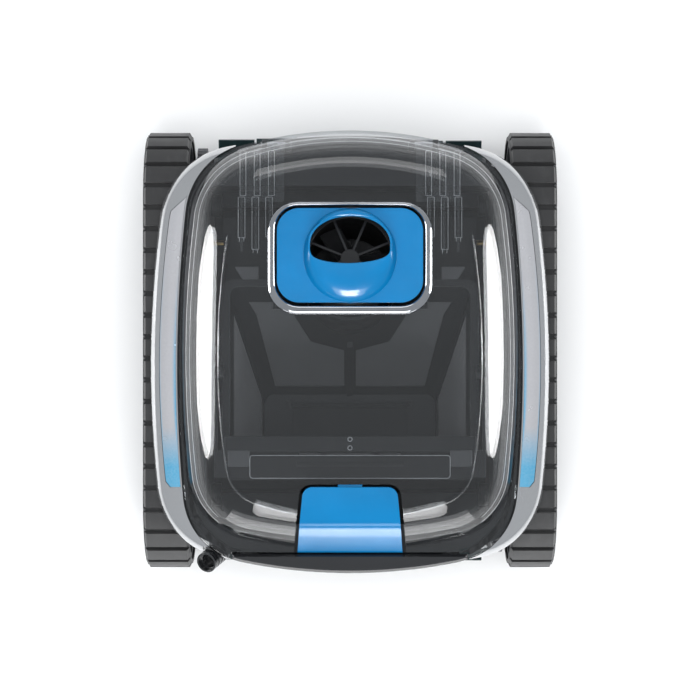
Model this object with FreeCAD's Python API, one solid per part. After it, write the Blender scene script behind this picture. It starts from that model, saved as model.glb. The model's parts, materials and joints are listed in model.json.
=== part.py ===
# Tracked pool-cleaning robot: a tub with a sealed motor block, a lift-out filter basket under a clear
# domed lid, a tilted propeller pump, two rubber belts and two geared brush rollers.
# Millimetres, +Z up, +X to the right, +Y to the rear (hinge side). The origin is on the floor,
# midway between the belts' ends and midway between the belts.
import FreeCAD, Part
import math
import os
from FreeCAD import Vector as V

os.makedirs("parts", exist_ok=True)

# ---------------------------------------------------------------- driving dimensions
# overall: width over the belts and length between the wheels lead everything else
belt_outer_x = 209.0       # outer face of a belt from the centre plane
wheel_base = 300.0         # front wheel centre to rear wheel centre
half_base = wheel_base / 2.0
far = 400.0                # cutters that pass everything reach this far

# belts and wheels
belt_width = 46.0
belt_inner_x = belt_outer_x - belt_width
belt_tip_r = 75.0          # radius over the treads, at the wheels
tread_height = 4.0
band_thickness = 4.0
tread_count = 48
tread_gap = 5.6            # groove between two treads
tread_chamfer = 2.0
tread_inset = 0.8          # a tread stops this far inside the belt's edges
wheel_clearance = 0.3      # wheel rim to the belt's inner face
wheel_rim = 6.0
wheel_web = 6.0
wheel_hub_r = 16.0
window_count, window_r, window_reach = 6, 11.5, 38.5     # round windows through the web
rim_groove_count, rim_groove_r = 36, 1.6
axle_r = 6.0
axle_sink = 12.0           # how deep a pin sits in its boss inside the tub's wall
running = 0.05             # radial clearance of everything that turns on a pin
roller_r = 14.0
roller_y = -6.0            # the support roller stands a little in front of the middle
roller_pin_r = 4.0
wheel_z = belt_tip_r
band_outer_r = belt_tip_r - tread_height
band_inner_r = band_outer_r - band_thickness
wheel_r = band_inner_r - wheel_clearance
roller_z = belt_tip_r - band_inner_r + roller_r + wheel_clearance

# tub
tub_half_width = belt_inner_x - 16.0
wall = 3.5
tub_bottom = 12.0
tub_low_end = half_base + 2.0      # the tub's low part ends here, short of both brushes
tub_step = 72.0                    # underside of the tub over the brushes
tub_top = 2 * belt_tip_r + 3.5     # the frame and fairings pass this far over the belts
tub_front = -(half_base + 28.0)
tub_rear = half_base + 18.0

# gears: the wheel ring meets the motor pinion and the brush gear
gear_module = 1.5
ring_teeth = 53
pinion_teeth = 12
brush_teeth = 26
pressure_angle = 25.0
gear_backlash = 0.30
gear_width = 10.0
gear_x = belt_inner_x - 3.0 - gear_width     # the gear ring lies just inside the belt
pinion_angle = 220.0       # seen from the rear wheel centre, 0 along +Y
brush_angle = -45.0        # brush centre below and beyond the wheel centre
motor_shaft_r = 3.0
pinion_distance = gear_module * (ring_teeth + pinion_teeth) / 2
brush_distance = gear_module * (ring_teeth + brush_teeth) / 2
pinion_y = half_base + pinion_distance * math.cos(math.radians(pinion_angle))
pinion_z = wheel_z + pinion_distance * math.sin(math.radians(pinion_angle))
brush_y = half_base + brush_distance * math.cos(math.radians(brush_angle))
brush_z = wheel_z + brush_distance * math.sin(math.radians(brush_angle))

# brushes
brush_core_r = 14.0
brush_tip_r = 31.5
brush_half_length = tub_half_width - 4.0
brush_journal_r = 8.0
blade_rows = 6
blade_segments = 7
blade_thickness = 2.4
blade_twist = 9.0          # degrees from one segment of blades to the next

# plan outlines: half width, ends, and where the side and end curves would meet
rim_half_width = belt_outer_x - 37.5
rim_rear, rim_front = half_base + 69.5, -(half_base + 73.5)
rim_widest_y = -40.0
rim_rear_corner = (rim_half_width - 14.5, rim_rear - 32.5)
rim_front_corner = (rim_half_width - 11.5, rim_front + 24.0)
rim_rear_r, rim_front_r = 80.0, 75.0
body_half_width = belt_outer_x - 7.5
body_rear, body_front = half_base + 67.0, -(half_base + 71.0)
body_rear_corner = (body_half_width - 17.5, body_rear - 27.0)
body_front_corner = (body_half_width - 13.5, body_front + 25.0)
body_rear_r, body_front_r = 85.0, 80.0

# upper frame, fairings and lid heights
frame_top = tub_top + 7.5
fairing_top = frame_top + 7.0
fairing_skirt = fairing_top - 63.0
fairing_shoulder = 20.0
fairing_wall = 3.5
strip_thickness = 2.0
strip_edge = 11.0          # from the body outline in to the accent strip
strip_gap = 0.3
fairing_rear_x = tub_half_width - 32.0       # the fairings stop here and leave the middle free
fairing_front_x = 0.75 * rim_front_corner[0]   # in front, inside the rim's front corners
seam = 1.2                 # gap between the lid rim and what stands round it
seam_rear = 2.4            # wider behind, where the rim swings

lid_rim_bottom = fairing_top - 4.0
lid_rim_top = fairing_top
lid_wall = 3.2
lid_chamfer = 1.5
plateau_side, plateau_rear, plateau_front = 43.0, 42.0, 37.0   # how far the dome runs in at its shoulder
dome_front_in = 21.0       # the dome's foot stands back from the rim in front, behind the handle
crown_z = fairing_top + 57.0
dome_steps = [(0.06, 0.0), (0.16, 16.0), (0.45, 37.0), (0.75, 48.5), (1.0, 53.0), (1.7, 57.0)]
seal_gap = 0.3
seal_in, seal_width = 3.0, 5.0

# hinge
hinge_y, hinge_z = half_base + 56.5, fairing_top - 10.0
hinge_x = 74.0
hinge_pin_r = 2.5
hinge_barrel_r = 4.8
hinge_rib_x = (77.0, 91.0, 105.0)     # the ribs that carry each arm under the dome
hinge_rib = 2.4
hinge_arm_width = 16.0
hinge_ear = 5.6
hinge_side_gap = 1.0
hinge_sweep = 17.0         # the lid's rear rim swings inside this radius

# pump
pump_base_y, pump_base_z = half_base - 86.0, 90.0
pump_tilt = 12.0
turret_r = 64.0
turret_top = 96.0
duct_r = 44.0
duct_wall = 3.0
duct_from, duct_to = 30.0, 148.0    # along the pump axis from its base point
propeller_at = 92.0
propeller_r = duct_r - 2.0
blade_count = 3
guard_at = 124.0
guard_spokes = 8
shaft_r = 4.0

# blue outlet cowl
cowl_half_width, cowl_front, cowl_rear = 71.4, pump_base_y - 17.7, pump_base_y + 74.7
cowl_corner = 22.0
cowl_z = crown_z
cowl_thickness = 3.0
hood_top = crown_z + 15.0
hood_r = duct_r + 2.6
mouth_half_width, mouth_y = duct_r - 5.8, pump_base_y + 39.6
mouth_rear, mouth_front = 25.0, 12.0
mouth_wall = 2.5
collar_half_width, collar_front, collar_rear = 82.6, pump_base_y - 29.6, pump_base_y + 80.5
collar_height = 1.5
hole_gap_side, hole_gap_front, hole_gap_rear = 1.8, 3.2, 2.4

# motor block
block_half_width = tub_half_width - 15.0
block_front, block_rear = pump_base_y - 66.0, half_base - 12.0
block_bottom, block_split = 18.0, 62.0
block_seal = 1.5
pump_motor_r = 28.0
drive_motor_r = 17.0

# filter basket
basket_top, basket_floor = frame_top + 27.0, 40.0
basket_top_x = tub_half_width - 25.0
basket_top_front, basket_top_rear = -(half_base - 24.0), pump_base_y + 2.0
basket_low_x = basket_top_x - 30.0
basket_low_front, basket_low_rear = basket_top_front + 19.0, pump_base_y - 110.0
basket_wall = 3.0
basket_corner = 10.0
mesh_thickness = 0.8
duct_room = duct_r + duct_wall + 4.0     # the basket bends round the duct at this radius
cowl_room = 2.6                          # and stands clear of the cowl flange when lifted out
inlet_half_x = 58.0
inlet_front = basket_low_front + 8.0
inlet_rear = inlet_front + 38.0
inlet_fit = 0.6
bail_y, bail_z, bail_pin_r = -22.0, basket_top + 4.0, 2.5
grip_front, grip_rear = basket_top_front, basket_top_front + 27.0
grip_gap_x = 50.0
flap_y, flap_z, flap_pin_r = inlet_rear + 3.5, basket_floor + 8.0, 1.5

# carry handle and latch
handle_half_width = fairing_front_x - 2.0
handle_rear = -(half_base + 54.0)
handle_bottom, handle_top = fairing_top - 26.0, fairing_top + 4.0
handle_leg_inner, handle_leg_outer = handle_half_width - 26.0, handle_half_width - 8.0
bumper_bottom, bumper_top = 67.0, 96.0
latch_rear, latch_front = -(half_base - 15.8), -(half_base + 52.2)
latch_rear_half, latch_front_half = 46.0, 52.5
latch_corner = 10.0
latch_gap = 2.8
latch_skin = 3.0
latch_axis_y, latch_axis_z = -(half_base + 36.0), fairing_top + 14.0
latch_pin_r = 2.5
latch_ear_x = 33.0
latch_nose_gap = 0.35

# cable socket at the front left corner
socket_r = 10.5
socket_bore_r = 7.5
socket_seat_r = 6.5        # the contact carrier's seat at the bottom of the bore
socket_length = 54.0
socket_depth = 21.0
socket_carrier = 5.0
socket_mouth = (-(tub_half_width - 3.0), -(half_base + 63.0), fairing_top - 6.0)
socket_lean = V(-0.40, -0.30, math.sqrt(0.75))

# screws and posts of the side covers
post_r = 6.0
post_y = half_base - wheel_r - 14.0
cover_thickness = 3.0
screw_r = 2.0
screw_head_r = 4.0
screw_head = 2.0
screw_depth = 12.0         # hole in a post, below the cover
cover_x = belt_outer_x - screw_head - cover_thickness      # a screw head ends flush with the belt


# ---------------------------------------------------------------- plain helpers
def box(x0, x1, y0, y1, z0, z1):
    return Part.makeBox(x1 - x0, y1 - y0, z1 - z0, V(x0, y0, z0))


def rod(r, start, axis, length):
    return Part.makeCylinder(r, length, V(*start), V(*axis))


def ring(r_out, r_in, start, axis, length):
    return rod(r_out, start, axis, length).cut(rod(r_in, start, axis, length))


def join(shapes):
    whole = shapes[0]
    if len(shapes) > 1:
        whole = whole.fuse(shapes[1:])
    return whole.removeSplitter()


def mirrored(shape):
    return shape.mirror(V(0, 0, 0), V(1, 0, 0))


def sides(shape):
    """A right-hand shape and its mirror image, as two solids."""
    return [shape, mirrored(shape)]


def slab(points, axis, start, length):
    """A polygon given in the plane across axis, pushed along it."""
    if axis == "x":
        corners = [V(start, a, b) for a, b in points]
        push = V(length, 0, 0)
    elif axis == "y":
        corners = [V(a, start, b) for a, b in points]
        push = V(0, length, 0)
    else:
        corners = [V(a, b, start) for a, b in points]
        push = V(0, 0, length)
    return Part.Face(Part.makePolygon(corners + corners[:1])).extrude(push)


def upright_edges(solid):
    return [e for e in solid.Edges if abs(e.tangentAt(e.FirstParameter).z) > 0.99]


def corner_edges(solid, x, y):
    """The upright edges that stand at a corner or at its mirror image across the machine."""
    found = []
    for e in upright_edges(solid):
        foot = e.Vertexes[0]
        if abs(abs(foot.X) - x) < 0.01 and abs(foot.Y - y) < 0.01:
            found.append(e)
    return found


def rounded_block(x0, x1, y0, y1, z0, z1, r):
    block = box(x0, x1, y0, y1, z0, z1)
    return block.makeFillet(r, upright_edges(block))


def save(name, shape):
    solids = shape.Solids
    for solid in solids:
        if not solid.isValid() or solid.Volume <= 0:
            print("NOT A GOOD SOLID:", name, solid.Volume)
    whole = solids[0] if len(solids) == 1 else Part.makeCompound(solids)
    whole.exportStep("parts/%s.step" % name)
    pieces[name] = whole


pieces = {}


# ---------------------------------------------------------------- plan outlines
def plan_prism(half_width, widest_y, rear, front, rear_corner, front_corner, rear_r, front_r, z0, z1):
    """An upright prism whose four sides bow outwards and whose corners are rounded."""
    rx, ry = rear_corner
    fx, fy = front_corner
    edges = [
        Part.Arc(V(fx, fy, z0), V(half_width, widest_y, z0), V(rx, ry, z0)).toShape(),
        Part.Arc(V(rx, ry, z0), V(0, rear, z0), V(-rx, ry, z0)).toShape(),
        Part.Arc(V(-rx, ry, z0), V(-half_width, widest_y, z0), V(-fx, fy, z0)).toShape(),
        Part.Arc(V(-fx, fy, z0), V(0, front, z0), V(fx, fy, z0)).toShape(),
    ]
    solid = Part.Face(Part.Wire(edges)).extrude(V(0, 0, z1 - z0))
    solid = solid.makeFillet(rear_r, corner_edges(solid, rx, ry))
    return solid.makeFillet(front_r, corner_edges(solid, fx, fy))


def rim_prism(inset, z0, z1, rear_in=None, front_in=None):
    """The lid's rim outline moved inwards; the ends can move further than the sides."""
    rear_in = inset if rear_in is None else rear_in
    front_in = inset if front_in is None else front_in
    shrink = max(inset, 0.0)
    return plan_prism(
        rim_half_width - inset, rim_widest_y, rim_rear - rear_in, rim_front + front_in,
        (rim_rear_corner[0] - inset, rim_rear_corner[1] - rear_in),
        (rim_front_corner[0] - inset, rim_front_corner[1] + front_in),
        max(rim_rear_r - 0.75 * shrink, 12.0), max(rim_front_r - 0.75 * shrink, 12.0), z0, z1)


def body_prism(inset, z0, z1):
    return plan_prism(
        body_half_width - inset, 0.0, body_rear - inset, body_front + inset,
        (body_rear_corner[0] - inset, body_rear_corner[1] - inset),
        (body_front_corner[0] - inset, body_front_corner[1] + inset),
        body_rear_r - inset, body_front_r - inset, z0, z1)


def top_wire(solid, z):
    for face in solid.Faces:
        box_ = face.BoundBox
        if abs(box_.ZMin - z) < 1e-6 and abs(box_.ZMax - z) < 1e-6:
            return face.OuterWire
    raise ValueError("no level face")


def dome(inwards):
    """The lid's outer dome, or the same dome moved in by a wall thickness."""
    wires = []
    for share, rise in dome_steps:
        level = lid_rim_top + rise - inwards
        if rise == 0.0 and inwards > 0:
            level = lid_rim_bottom - 16.0
        prism = rim_prism(plateau_side * share + inwards, level - 1.0, level,
                          plateau_rear * share + inwards,
                          dome_front_in + plateau_front * share + inwards)
        wires.append(top_wire(prism, level))
    return Part.makeLoft(wires, True, False)


# ---------------------------------------------------------------- belts, wheels, gears
def belt():
    """The right-hand belt: two half turns and two straight runs, then the grooves between treads."""
    tread_inner, tread_outer = belt_inner_x + tread_inset, belt_outer_x - tread_inset
    section = [
        (belt_inner_x, band_inner_r),
        (belt_outer_x, band_inner_r),
        (belt_outer_x, band_outer_r),
        (tread_outer, band_outer_r),
        (tread_outer - tread_chamfer, belt_tip_r),
        (tread_inner + tread_chamfer, belt_tip_r),
        (tread_inner, band_outer_r),
        (belt_inner_x, band_outer_r),
    ]
    upper = slab([(x, wheel_z + r) for x, r in section], "y", -half_base, wheel_base)
    lower = upper.mirror(V(0, 0, wheel_z), V(0, 0, 1))
    turns = []
    for y, turn in ((half_base, -180), (-half_base, 180)):
        corners = [V(x, y, wheel_z + r) for x, r in section]
        face = Part.Face(Part.makePolygon(corners + corners[:1]))
        turns.append(face.revolve(V(0, y, wheel_z), V(1, 0, 0), turn))
    loop = join([upper, lower] + turns)
    length = 2 * wheel_base + 2 * math.pi * band_outer_r
    cutters = []
    for i in range(tread_count):
        s = (i + 0.5) * length / tread_count
        cutters.append(groove(s))
    return loop.cut(Part.makeCompound(cutters))


def groove(s):
    """A groove across the belt at distance s along its loop, counted from above the front wheel."""
    half_turn = math.pi * band_outer_r
    blank = box(belt_inner_x - 1, belt_outer_x + 1, -tread_gap / 2, tread_gap / 2,
                band_outer_r - 0.5, belt_tip_r + 2)
    if s < wheel_base:
        blank.translate(V(0, -half_base + s, wheel_z))
    elif s < wheel_base + half_turn:
        angle = (s - wheel_base) / band_outer_r
        blank.rotate(V(0, 0, 0), V(1, 0, 0), -math.degrees(angle))
        blank.translate(V(0, half_base, wheel_z))
    elif s < 2 * wheel_base + half_turn:
        blank.rotate(V(0, 0, 0), V(1, 0, 0), 180)
        blank.translate(V(0, half_base - (s - wheel_base - half_turn), wheel_z))
    else:
        angle = (s - 2 * wheel_base - half_turn) / band_outer_r
        blank.rotate(V(0, 0, 0), V(1, 0, 0), -180 - math.degrees(angle))
        blank.translate(V(0, -half_base, wheel_z))
    return blank


def gear(teeth, x0, width, phase_deg):
    """An involute spur gear on the X axis, with a tooth centred at phase_deg in the Y-Z plane."""
    pa = math.radians(pressure_angle)
    rp = gear_module * teeth / 2
    rb = rp * math.cos(pa)
    ra = rp + 0.9 * gear_module
    rf = rp - 1.15 * gear_module
    half_pitch = math.pi / 2 / teeth - gear_backlash / 4 / rp
    lift = half_pitch + math.tan(pa) - pa

    def half_angle(r):
        a = math.acos(min(1.0, rb / r)) if r > rb else 0.0
        return lift - (math.tan(a) - a)

    start = max(rf, rb)
    radii = [rf] + [start + (ra - start) * k / 3 for k in range(4)]
    if start - rf < 0.01:
        radii = radii[1:]
    points = []
    for i in range(teeth):
        centre = math.radians(phase_deg) + 2 * math.pi * i / teeth
        flank = [(r, half_angle(r)) for r in radii]
        for r, a in flank:
            points.append((r * math.cos(centre - a), r * math.sin(centre - a)))
        for r, a in reversed(flank):
            points.append((r * math.cos(centre + a), r * math.sin(centre + a)))
    return slab(points, "x", x0, width)


def meshing_phase(teeth, angle):
    """Tooth phase of a gear in mesh with the wheel ring, whose own tooth is centred at pinion_angle."""
    pitch = 360.0 / ring_teeth
    ahead = (pinion_angle - angle) % pitch
    gap = angle + 180.0 - ahead * ring_teeth / teeth
    return gap + 180.0 / teeth


def round_row(count, r, reach, turn, x0, x1):
    """Rods along X set round the X axis at a distance, turned on by a share of their pitch."""
    rods = []
    for i in range(count):
        a = 2 * math.pi * (i + turn) / count
        rods.append(rod(r, (x0, reach * math.cos(a), reach * math.sin(a)), (1, 0, 0), x1 - x0))
    return rods


def wheel(y, phase):
    """A wheel with six spokes' worth of windows, its hub and its gear ring, on the right-hand side."""
    x0, x1 = belt_inner_x + 2, belt_outer_x - 7
    hub_x0 = tub_half_width + 1.5
    body = [
        ring(wheel_r, wheel_r - wheel_rim, (x0, 0, 0), (1, 0, 0), x1 - x0),
        rod(wheel_r - wheel_rim, (x0 + 14, 0, 0), (1, 0, 0), wheel_web),
        rod(wheel_hub_r, (hub_x0, 0, 0), (1, 0, 0), x1 - hub_x0),
        gear(ring_teeth, gear_x, gear_width, phase),
    ]
    cuts = round_row(window_count, window_r, window_reach, 0.5, x0, x1)
    cuts += round_row(rim_groove_count, rim_groove_r, wheel_r + 0.6, 0.0, x0, x1)
    cuts.append(rod(axle_r + running, (hub_x0 - 1, 0, 0), (1, 0, 0), x1 - hub_x0 + 2))
    solid = join(body).cut(cuts)
    solid.translate(V(0, y, wheel_z))
    return solid


def axle(y, z, r, head_r):
    """A pin fixed in a boss inside the tub's wall, with a head outside the wheel."""
    outer_end = belt_outer_x - 6.8
    start = tub_half_width - axle_sink
    return join([
        rod(r, (start, y, z), (1, 0, 0), outer_end - start),
        rod(head_r, (outer_end, y, z), (1, 0, 0), 1.6),
    ])


def roller():
    """A support roller with a narrower waist."""
    x0, x1 = belt_inner_x + 5, belt_outer_x - 7.5
    body = ring(roller_r, roller_pin_r + running, (x0, roller_y, roller_z), (1, 0, 0), x1 - x0)
    waist = ring(roller_r + 1, roller_r - 2.5, (x0 + 10, roller_y, roller_z), (1, 0, 0), x1 - x0 - 20)
    return body.cut(waist)


def pinion():
    """Pinion and output shaft in one, on the right-hand side."""
    shaft_start = block_half_width - wall - 6
    solid = join([
        gear(pinion_teeth, gear_x, gear_width, meshing_phase(pinion_teeth, pinion_angle)),
        rod(motor_shaft_r, (shaft_start, 0, 0), (1, 0, 0), gear_x + gear_width + 2 - shaft_start),
    ])
    solid.translate(V(0, pinion_y, pinion_z))
    return solid


def brush_core():
    """The rear brush's core, with its gear on the left: built on the right and mirrored by the caller."""
    journal = -brush_half_length - 6
    solid = join([
        rod(brush_core_r, (-brush_half_length, 0, 0), (1, 0, 0), 2 * brush_half_length),
        rod(brush_journal_r, (journal, 0, 0), (1, 0, 0), gear_x + gear_width - journal),
        gear(brush_teeth, gear_x, gear_width, meshing_phase(brush_teeth, brush_angle)),
    ])
    solid.translate(V(0, brush_y, brush_z))
    return solid


def brush_blades():
    """Six rows of short fins, each segment turned on a little from the one before, on one sleeve."""
    half = brush_half_length - 4
    length = 2 * half / blade_segments
    fins = [rod(brush_core_r + 2, (-half, 0, 0), (1, 0, 0), 2 * half)]
    for k in range(blade_segments):
        x0 = -half + k * length
        for row in range(blade_rows):
            fin = box(x0 + 1, x0 + length - 1, -blade_thickness / 2, blade_thickness / 2,
                      brush_core_r + 1, brush_tip_r)
            fin.rotate(V(0, 0, 0), V(1, 0, 0), 360.0 / blade_rows * row + blade_twist * k)
            fins.append(fin)
    solid = join(fins).cut(rod(brush_core_r, (-brush_half_length, 0, 0), (1, 0, 0), 2 * brush_half_length))
    solid.translate(V(0, brush_y, brush_z))
    return solid


def to_front(shape):
    """A rear shape turned half a turn about the upright axis, so left and right change places."""
    turned = shape.copy()
    turned.rotate(V(0, 0, 0), V(0, 0, 1), 180)
    return turned


# ---------------------------------------------------------------- pump axis
tilt = math.radians(pump_tilt)
pump_axis = V(0, math.sin(tilt), math.cos(tilt))


def on_axis(s):
    return V(0, pump_base_y, pump_base_z) + pump_axis * s


def pump_rod(r, s0, s1):
    return Part.makeCylinder(r, s1 - s0, on_axis(s0), pump_axis)


def pump_ring(r_out, r_in, s0, s1):
    return pump_rod(r_out, s0, s1).cut(pump_rod(r_in, s0, s1))


def propeller():
    """Three pitched blades on a hub; each blade is a plate sheared by lofting between two angles."""
    hub = pump_rod(11, propeller_at - 12, propeller_at + 12)
    blades = []
    for i in range(blade_count):
        sections = []
        for r, pitch in ((6.0, 50.0), (24.0, 34.0), (propeller_r - 0.5, 24.0)):
            half = 13.0
            a = math.radians(pitch)
            corners = []
            for u, w in ((-half, -1.1), (half, -1.1), (half, 1.1), (-half, 1.1)):
                corners.append(V(r, u * math.cos(a) - w * math.sin(a), u * math.sin(a) + w * math.cos(a)))
            sections.append(Part.makePolygon(corners + corners[:1]))
        blade = Part.makeLoft(sections, True, True)
        blade.rotate(V(0, 0, 0), V(0, 0, 1), 360.0 / blade_count * i)
        blades.append(blade)
    fan = join(blades)
    fan = fan.common(Part.makeCylinder(propeller_r, 60, V(0, 0, -30)))
    fan.rotate(V(0, 0, 0), V(1, 0, 0), -pump_tilt)
    fan.translate(on_axis(propeller_at))
    return join([hub, fan]).cut(pump_rod(shaft_r, propeller_at - 20, propeller_at + 20))


# ---------------------------------------------------------------- outlet cowl
def mouth_wire(grow, z):
    """A D-shaped closed curve: flat in front, arched behind."""
    points = []
    count = 28
    for k in range(count):
        a = 2 * math.pi * k / count
        c, s = math.cos(a), math.sin(a)
        power = 2.3 if s >= 0 else 4.5
        reach = mouth_rear if s >= 0 else mouth_front
        x = (mouth_half_width + grow) * math.copysign(abs(c) ** (2 / power), c)
        y = mouth_y + (reach + grow) * math.copysign(abs(s) ** (2 / power), s)
        points.append(V(x, y, z + (mouth_y - y) * 0.16))
    curve = Part.BSplineCurve()
    curve.interpolate(points, PeriodicFlag=True)
    return Part.Wire(curve.toShape())


def base_wire(r, z):
    """A circle round the pump's axis at one height, drawn like the mouth's curve."""
    points = []
    count = 28
    centre_y = pump_base_y + math.tan(tilt) * (z - pump_base_z)
    for k in range(count):
        a = 2 * math.pi * k / count
        points.append(V(r * math.cos(a), centre_y + r * math.sin(a), z))
    curve = Part.BSplineCurve()
    curve.interpolate(points, PeriodicFlag=True)
    return Part.Wire(curve.toShape())


def cowl():
    """The flange and the hood that turns the pump's jet to the rear."""
    w, under = cowl_half_width, cowl_z - cowl_thickness
    flange = rounded_block(-w, w, cowl_front, cowl_rear, under, cowl_z, cowl_corner)
    outside = [
        base_wire(hood_r, under),
        base_wire(hood_r - 1.5, cowl_z + 2),
        mouth_wire(mouth_wall, hood_top - 2.5),
    ]
    inside = [base_wire(hood_r - cowl_thickness, under - 1), mouth_wire(0, hood_top + 1)]
    outer = Part.makeLoft(outside, True, False)
    inner = Part.makeLoft(inside, True, True)
    return flange.fuse(outer).cut(inner).removeSplitter()


# ---------------------------------------------------------------- filter basket
def basket_block(inset, z_low, z_high):
    """The basket's tapered block, moved in by a wall, between two heights."""
    def level(z):
        t = (z - basket_floor) / (basket_top - basket_floor)
        x = basket_low_x + (basket_top_x - basket_low_x) * t - inset
        y0 = basket_low_front + (basket_top_front - basket_low_front) * t + inset
        y1 = basket_low_rear + (basket_top_rear - basket_low_rear) * t - inset
        prism = rounded_block(-x, x, y0, y1, z - 1, z, basket_corner)
        return top_wire(prism, z)
    return Part.makeLoft([level(z_low), level(z_high)], True, True)


def basket_room(grow):
    """What the basket keeps clear of: the duct, and the upright path past the cowl flange."""
    past_cowl = box(-cowl_half_width - cowl_room - grow, cowl_half_width + cowl_room + grow,
                    cowl_front - cowl_room - grow, cowl_rear, 0, far)
    return [pump_rod(duct_room + grow, -90, 190), past_cowl]


def basket_shell(outside, inside):
    """A layer of the basket's wall between two depths, floor included, bent round the duct."""
    outer = basket_block(outside, basket_floor + outside, basket_top)
    outer = outer.cut(basket_room(outside))
    inner = basket_block(inside, basket_floor + inside, basket_top + 1)
    inner = inner.cut(basket_room(inside))
    return outer.cut(inner)


def basket_windows():
    """Prisms that open the walls: two behind, one at each side, three in front."""
    floor, top = basket_floor, basket_top
    low_x, top_x = basket_low_x, basket_top_x
    low_front, low_rear = basket_low_front, basket_low_rear
    rear_window = [
        (6, floor + 14), (low_x - 14, floor + 14), (top_x - 28, top - 38), (top_x - 20, top - 20),
        (duct_room + 7, top - 20), (duct_room + 5, top - 38), (duct_room - 11, floor + 76), (6, floor + 64),
    ]
    side_window = [
        (low_front + 8, floor + 12), (low_rear - 4, floor + 12),
        (basket_top_rear - 28, top - 16), (basket_top_front + 15, top - 16),
    ]
    cuts = []
    for sign in (-1, 1):
        panel = [(sign * x, z) for x, z in rear_window]
        cuts.append(slab(panel, "y", low_rear + 2, 2 * (basket_top_rear - low_rear)))
        start = low_x - 8 if sign > 0 else -top_x - 2
        cuts.append(slab(side_window, "x", start, top_x - low_x + 10))
    pitch = 2 * (low_x - 8) / 3
    for k in range(3):
        x0 = -(low_x - 8) + k * pitch
        cuts.append(box(x0 + 3, x0 + pitch - 3, basket_top_front - 9, low_front + 4, floor + 18, top - 28))
    return cuts


def basket_frame(windows):
    """The basket's open frame with its lip, inlet spigot, handle lugs and flap ears."""
    shell = basket_shell(0.0, basket_wall)
    divider = box(-3, 3, basket_low_rear - 5, basket_low_rear + 60, basket_floor + 2, basket_floor + 76)
    divider = divider.common(basket_shell(0.0, 9.0))
    lip = rounded_block(-basket_top_x - 6, basket_top_x + 6, basket_top_front - 3, basket_top_rear + 4,
                        basket_top - 4, basket_top, basket_corner + 4)
    lip = lip.cut([basket_block(basket_wall, basket_top - 8, basket_top + 1)] + basket_room(0.0))
    spigot = box(-inlet_half_x, inlet_half_x, inlet_front, inlet_rear, tub_bottom + 1, basket_floor + 0.5)
    hollow = box(-inlet_half_x + 2.5, inlet_half_x - 2.5, inlet_front + 2.5, inlet_rear - 2.5,
                 tub_bottom, basket_floor + basket_wall + 1)
    lugs = []
    for sign in (-1, 1):
        x = sign * (basket_top_x + 6)
        lug = box(x - 3, x + 3, bail_y - 7, bail_y + 7, basket_top - 4, bail_z)
        lug = lug.fuse(rod(7, (x - 3, bail_y, bail_z), (1, 0, 0), 6))
        lugs.append(lug.cut(rod(bail_pin_r, (x - 4, bail_y, bail_z), (1, 0, 0), 8)))
    ears = []
    for x0 in (-inlet_half_x - 8, inlet_half_x + 4):
        ear = box(x0, x0 + 4, flap_y - 4, flap_y + 4, basket_floor + basket_wall - 0.5, flap_z + 4)
        ears.append(ear.cut(rod(flap_pin_r + running, (x0 - 1, flap_y, flap_z), (1, 0, 0), 6)))
    return join([shell.cut(windows), divider, lip, spigot] + lugs + ears).cut(hollow)


def basket_mesh(windows):
    """Thin sheets that fill the windows half way through the wall."""
    layer = basket_shell(1.1, 1.1 + mesh_thickness)
    return Part.makeCompound([layer.common(w) for w in windows])


def bail():
    """The basket's swing handle, folded forward: two arms, a grip and two pivot pins."""
    arm_x = basket_top_x + 10.8
    parts = []
    for sign in (-1, 1):
        x0 = sign * arm_x - 1.5
        pin_x = arm_x - 8.5 if sign > 0 else -arm_x
        parts.append(box(x0, x0 + 3, grip_front + 4, bail_y, bail_z - 4, bail_z + 4))
        parts.append(rod(6, (x0, bail_y, bail_z), (1, 0, 0), 3))
        parts.append(rod(bail_pin_r - running, (pin_x, bail_y, bail_z), (1, 0, 0), 8.5))
    grip_y = (grip_front + grip_rear) / 2
    plate = box(-arm_x - 1.5, arm_x + 1.5, grip_front, grip_rear, bail_z + 0.5, bail_z + 5.5)
    plate = plate.cut(box(-grip_gap_x, grip_gap_x, grip_front - 1, grip_rear + 1, bail_z, bail_z + 6))
    hold = rod(7.5, (-grip_gap_x - 3, grip_y, bail_z + 4), (1, 0, 0), 2 * grip_gap_x + 6)
    return join(parts + [plate, hold])


def flap():
    """A rubber flap lying over the inlet, hinged at its rear edge."""
    x = inlet_half_x + 2
    low = basket_floor + basket_wall + 0.4
    return join([
        box(-x, x, inlet_front - 1, flap_y, low, low + 2.2),
        box(-x, x, flap_y - 3, flap_y, low, flap_z),
        rod(2.6, (-x, flap_y, flap_z), (1, 0, 0), 2 * x),
        rod(flap_pin_r, (-x - 5.5, flap_y, flap_z), (1, 0, 0), 2 * (x + 5.5)),
    ])


# ---------------------------------------------------------------- tub, floor and upper frame
def cheeks():
    """Side plates that carry the rear brush's journals, one each side."""
    low = brush_z - 16
    outline = [
        (tub_low_end - wall, tub_step + 1), (tub_rear, tub_step + 1), (brush_y + 14, brush_z + 26),
        (brush_y + 14, low), (tub_low_end - wall, low),
    ]
    plate = slab(outline, "x", tub_half_width - wall, wall)
    plate = plate.cut(rod(brush_journal_r + running, (0, brush_y, brush_z), (1, 0, 0), far))
    return sides(plate)


def cover_posts():
    """Posts from the tub's wall out to the side cover, between the wheels."""
    return [(y, z) for y, z in ((-post_y, wheel_z), (post_y, wheel_z), (0.0, wheel_z + 36))]


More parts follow.
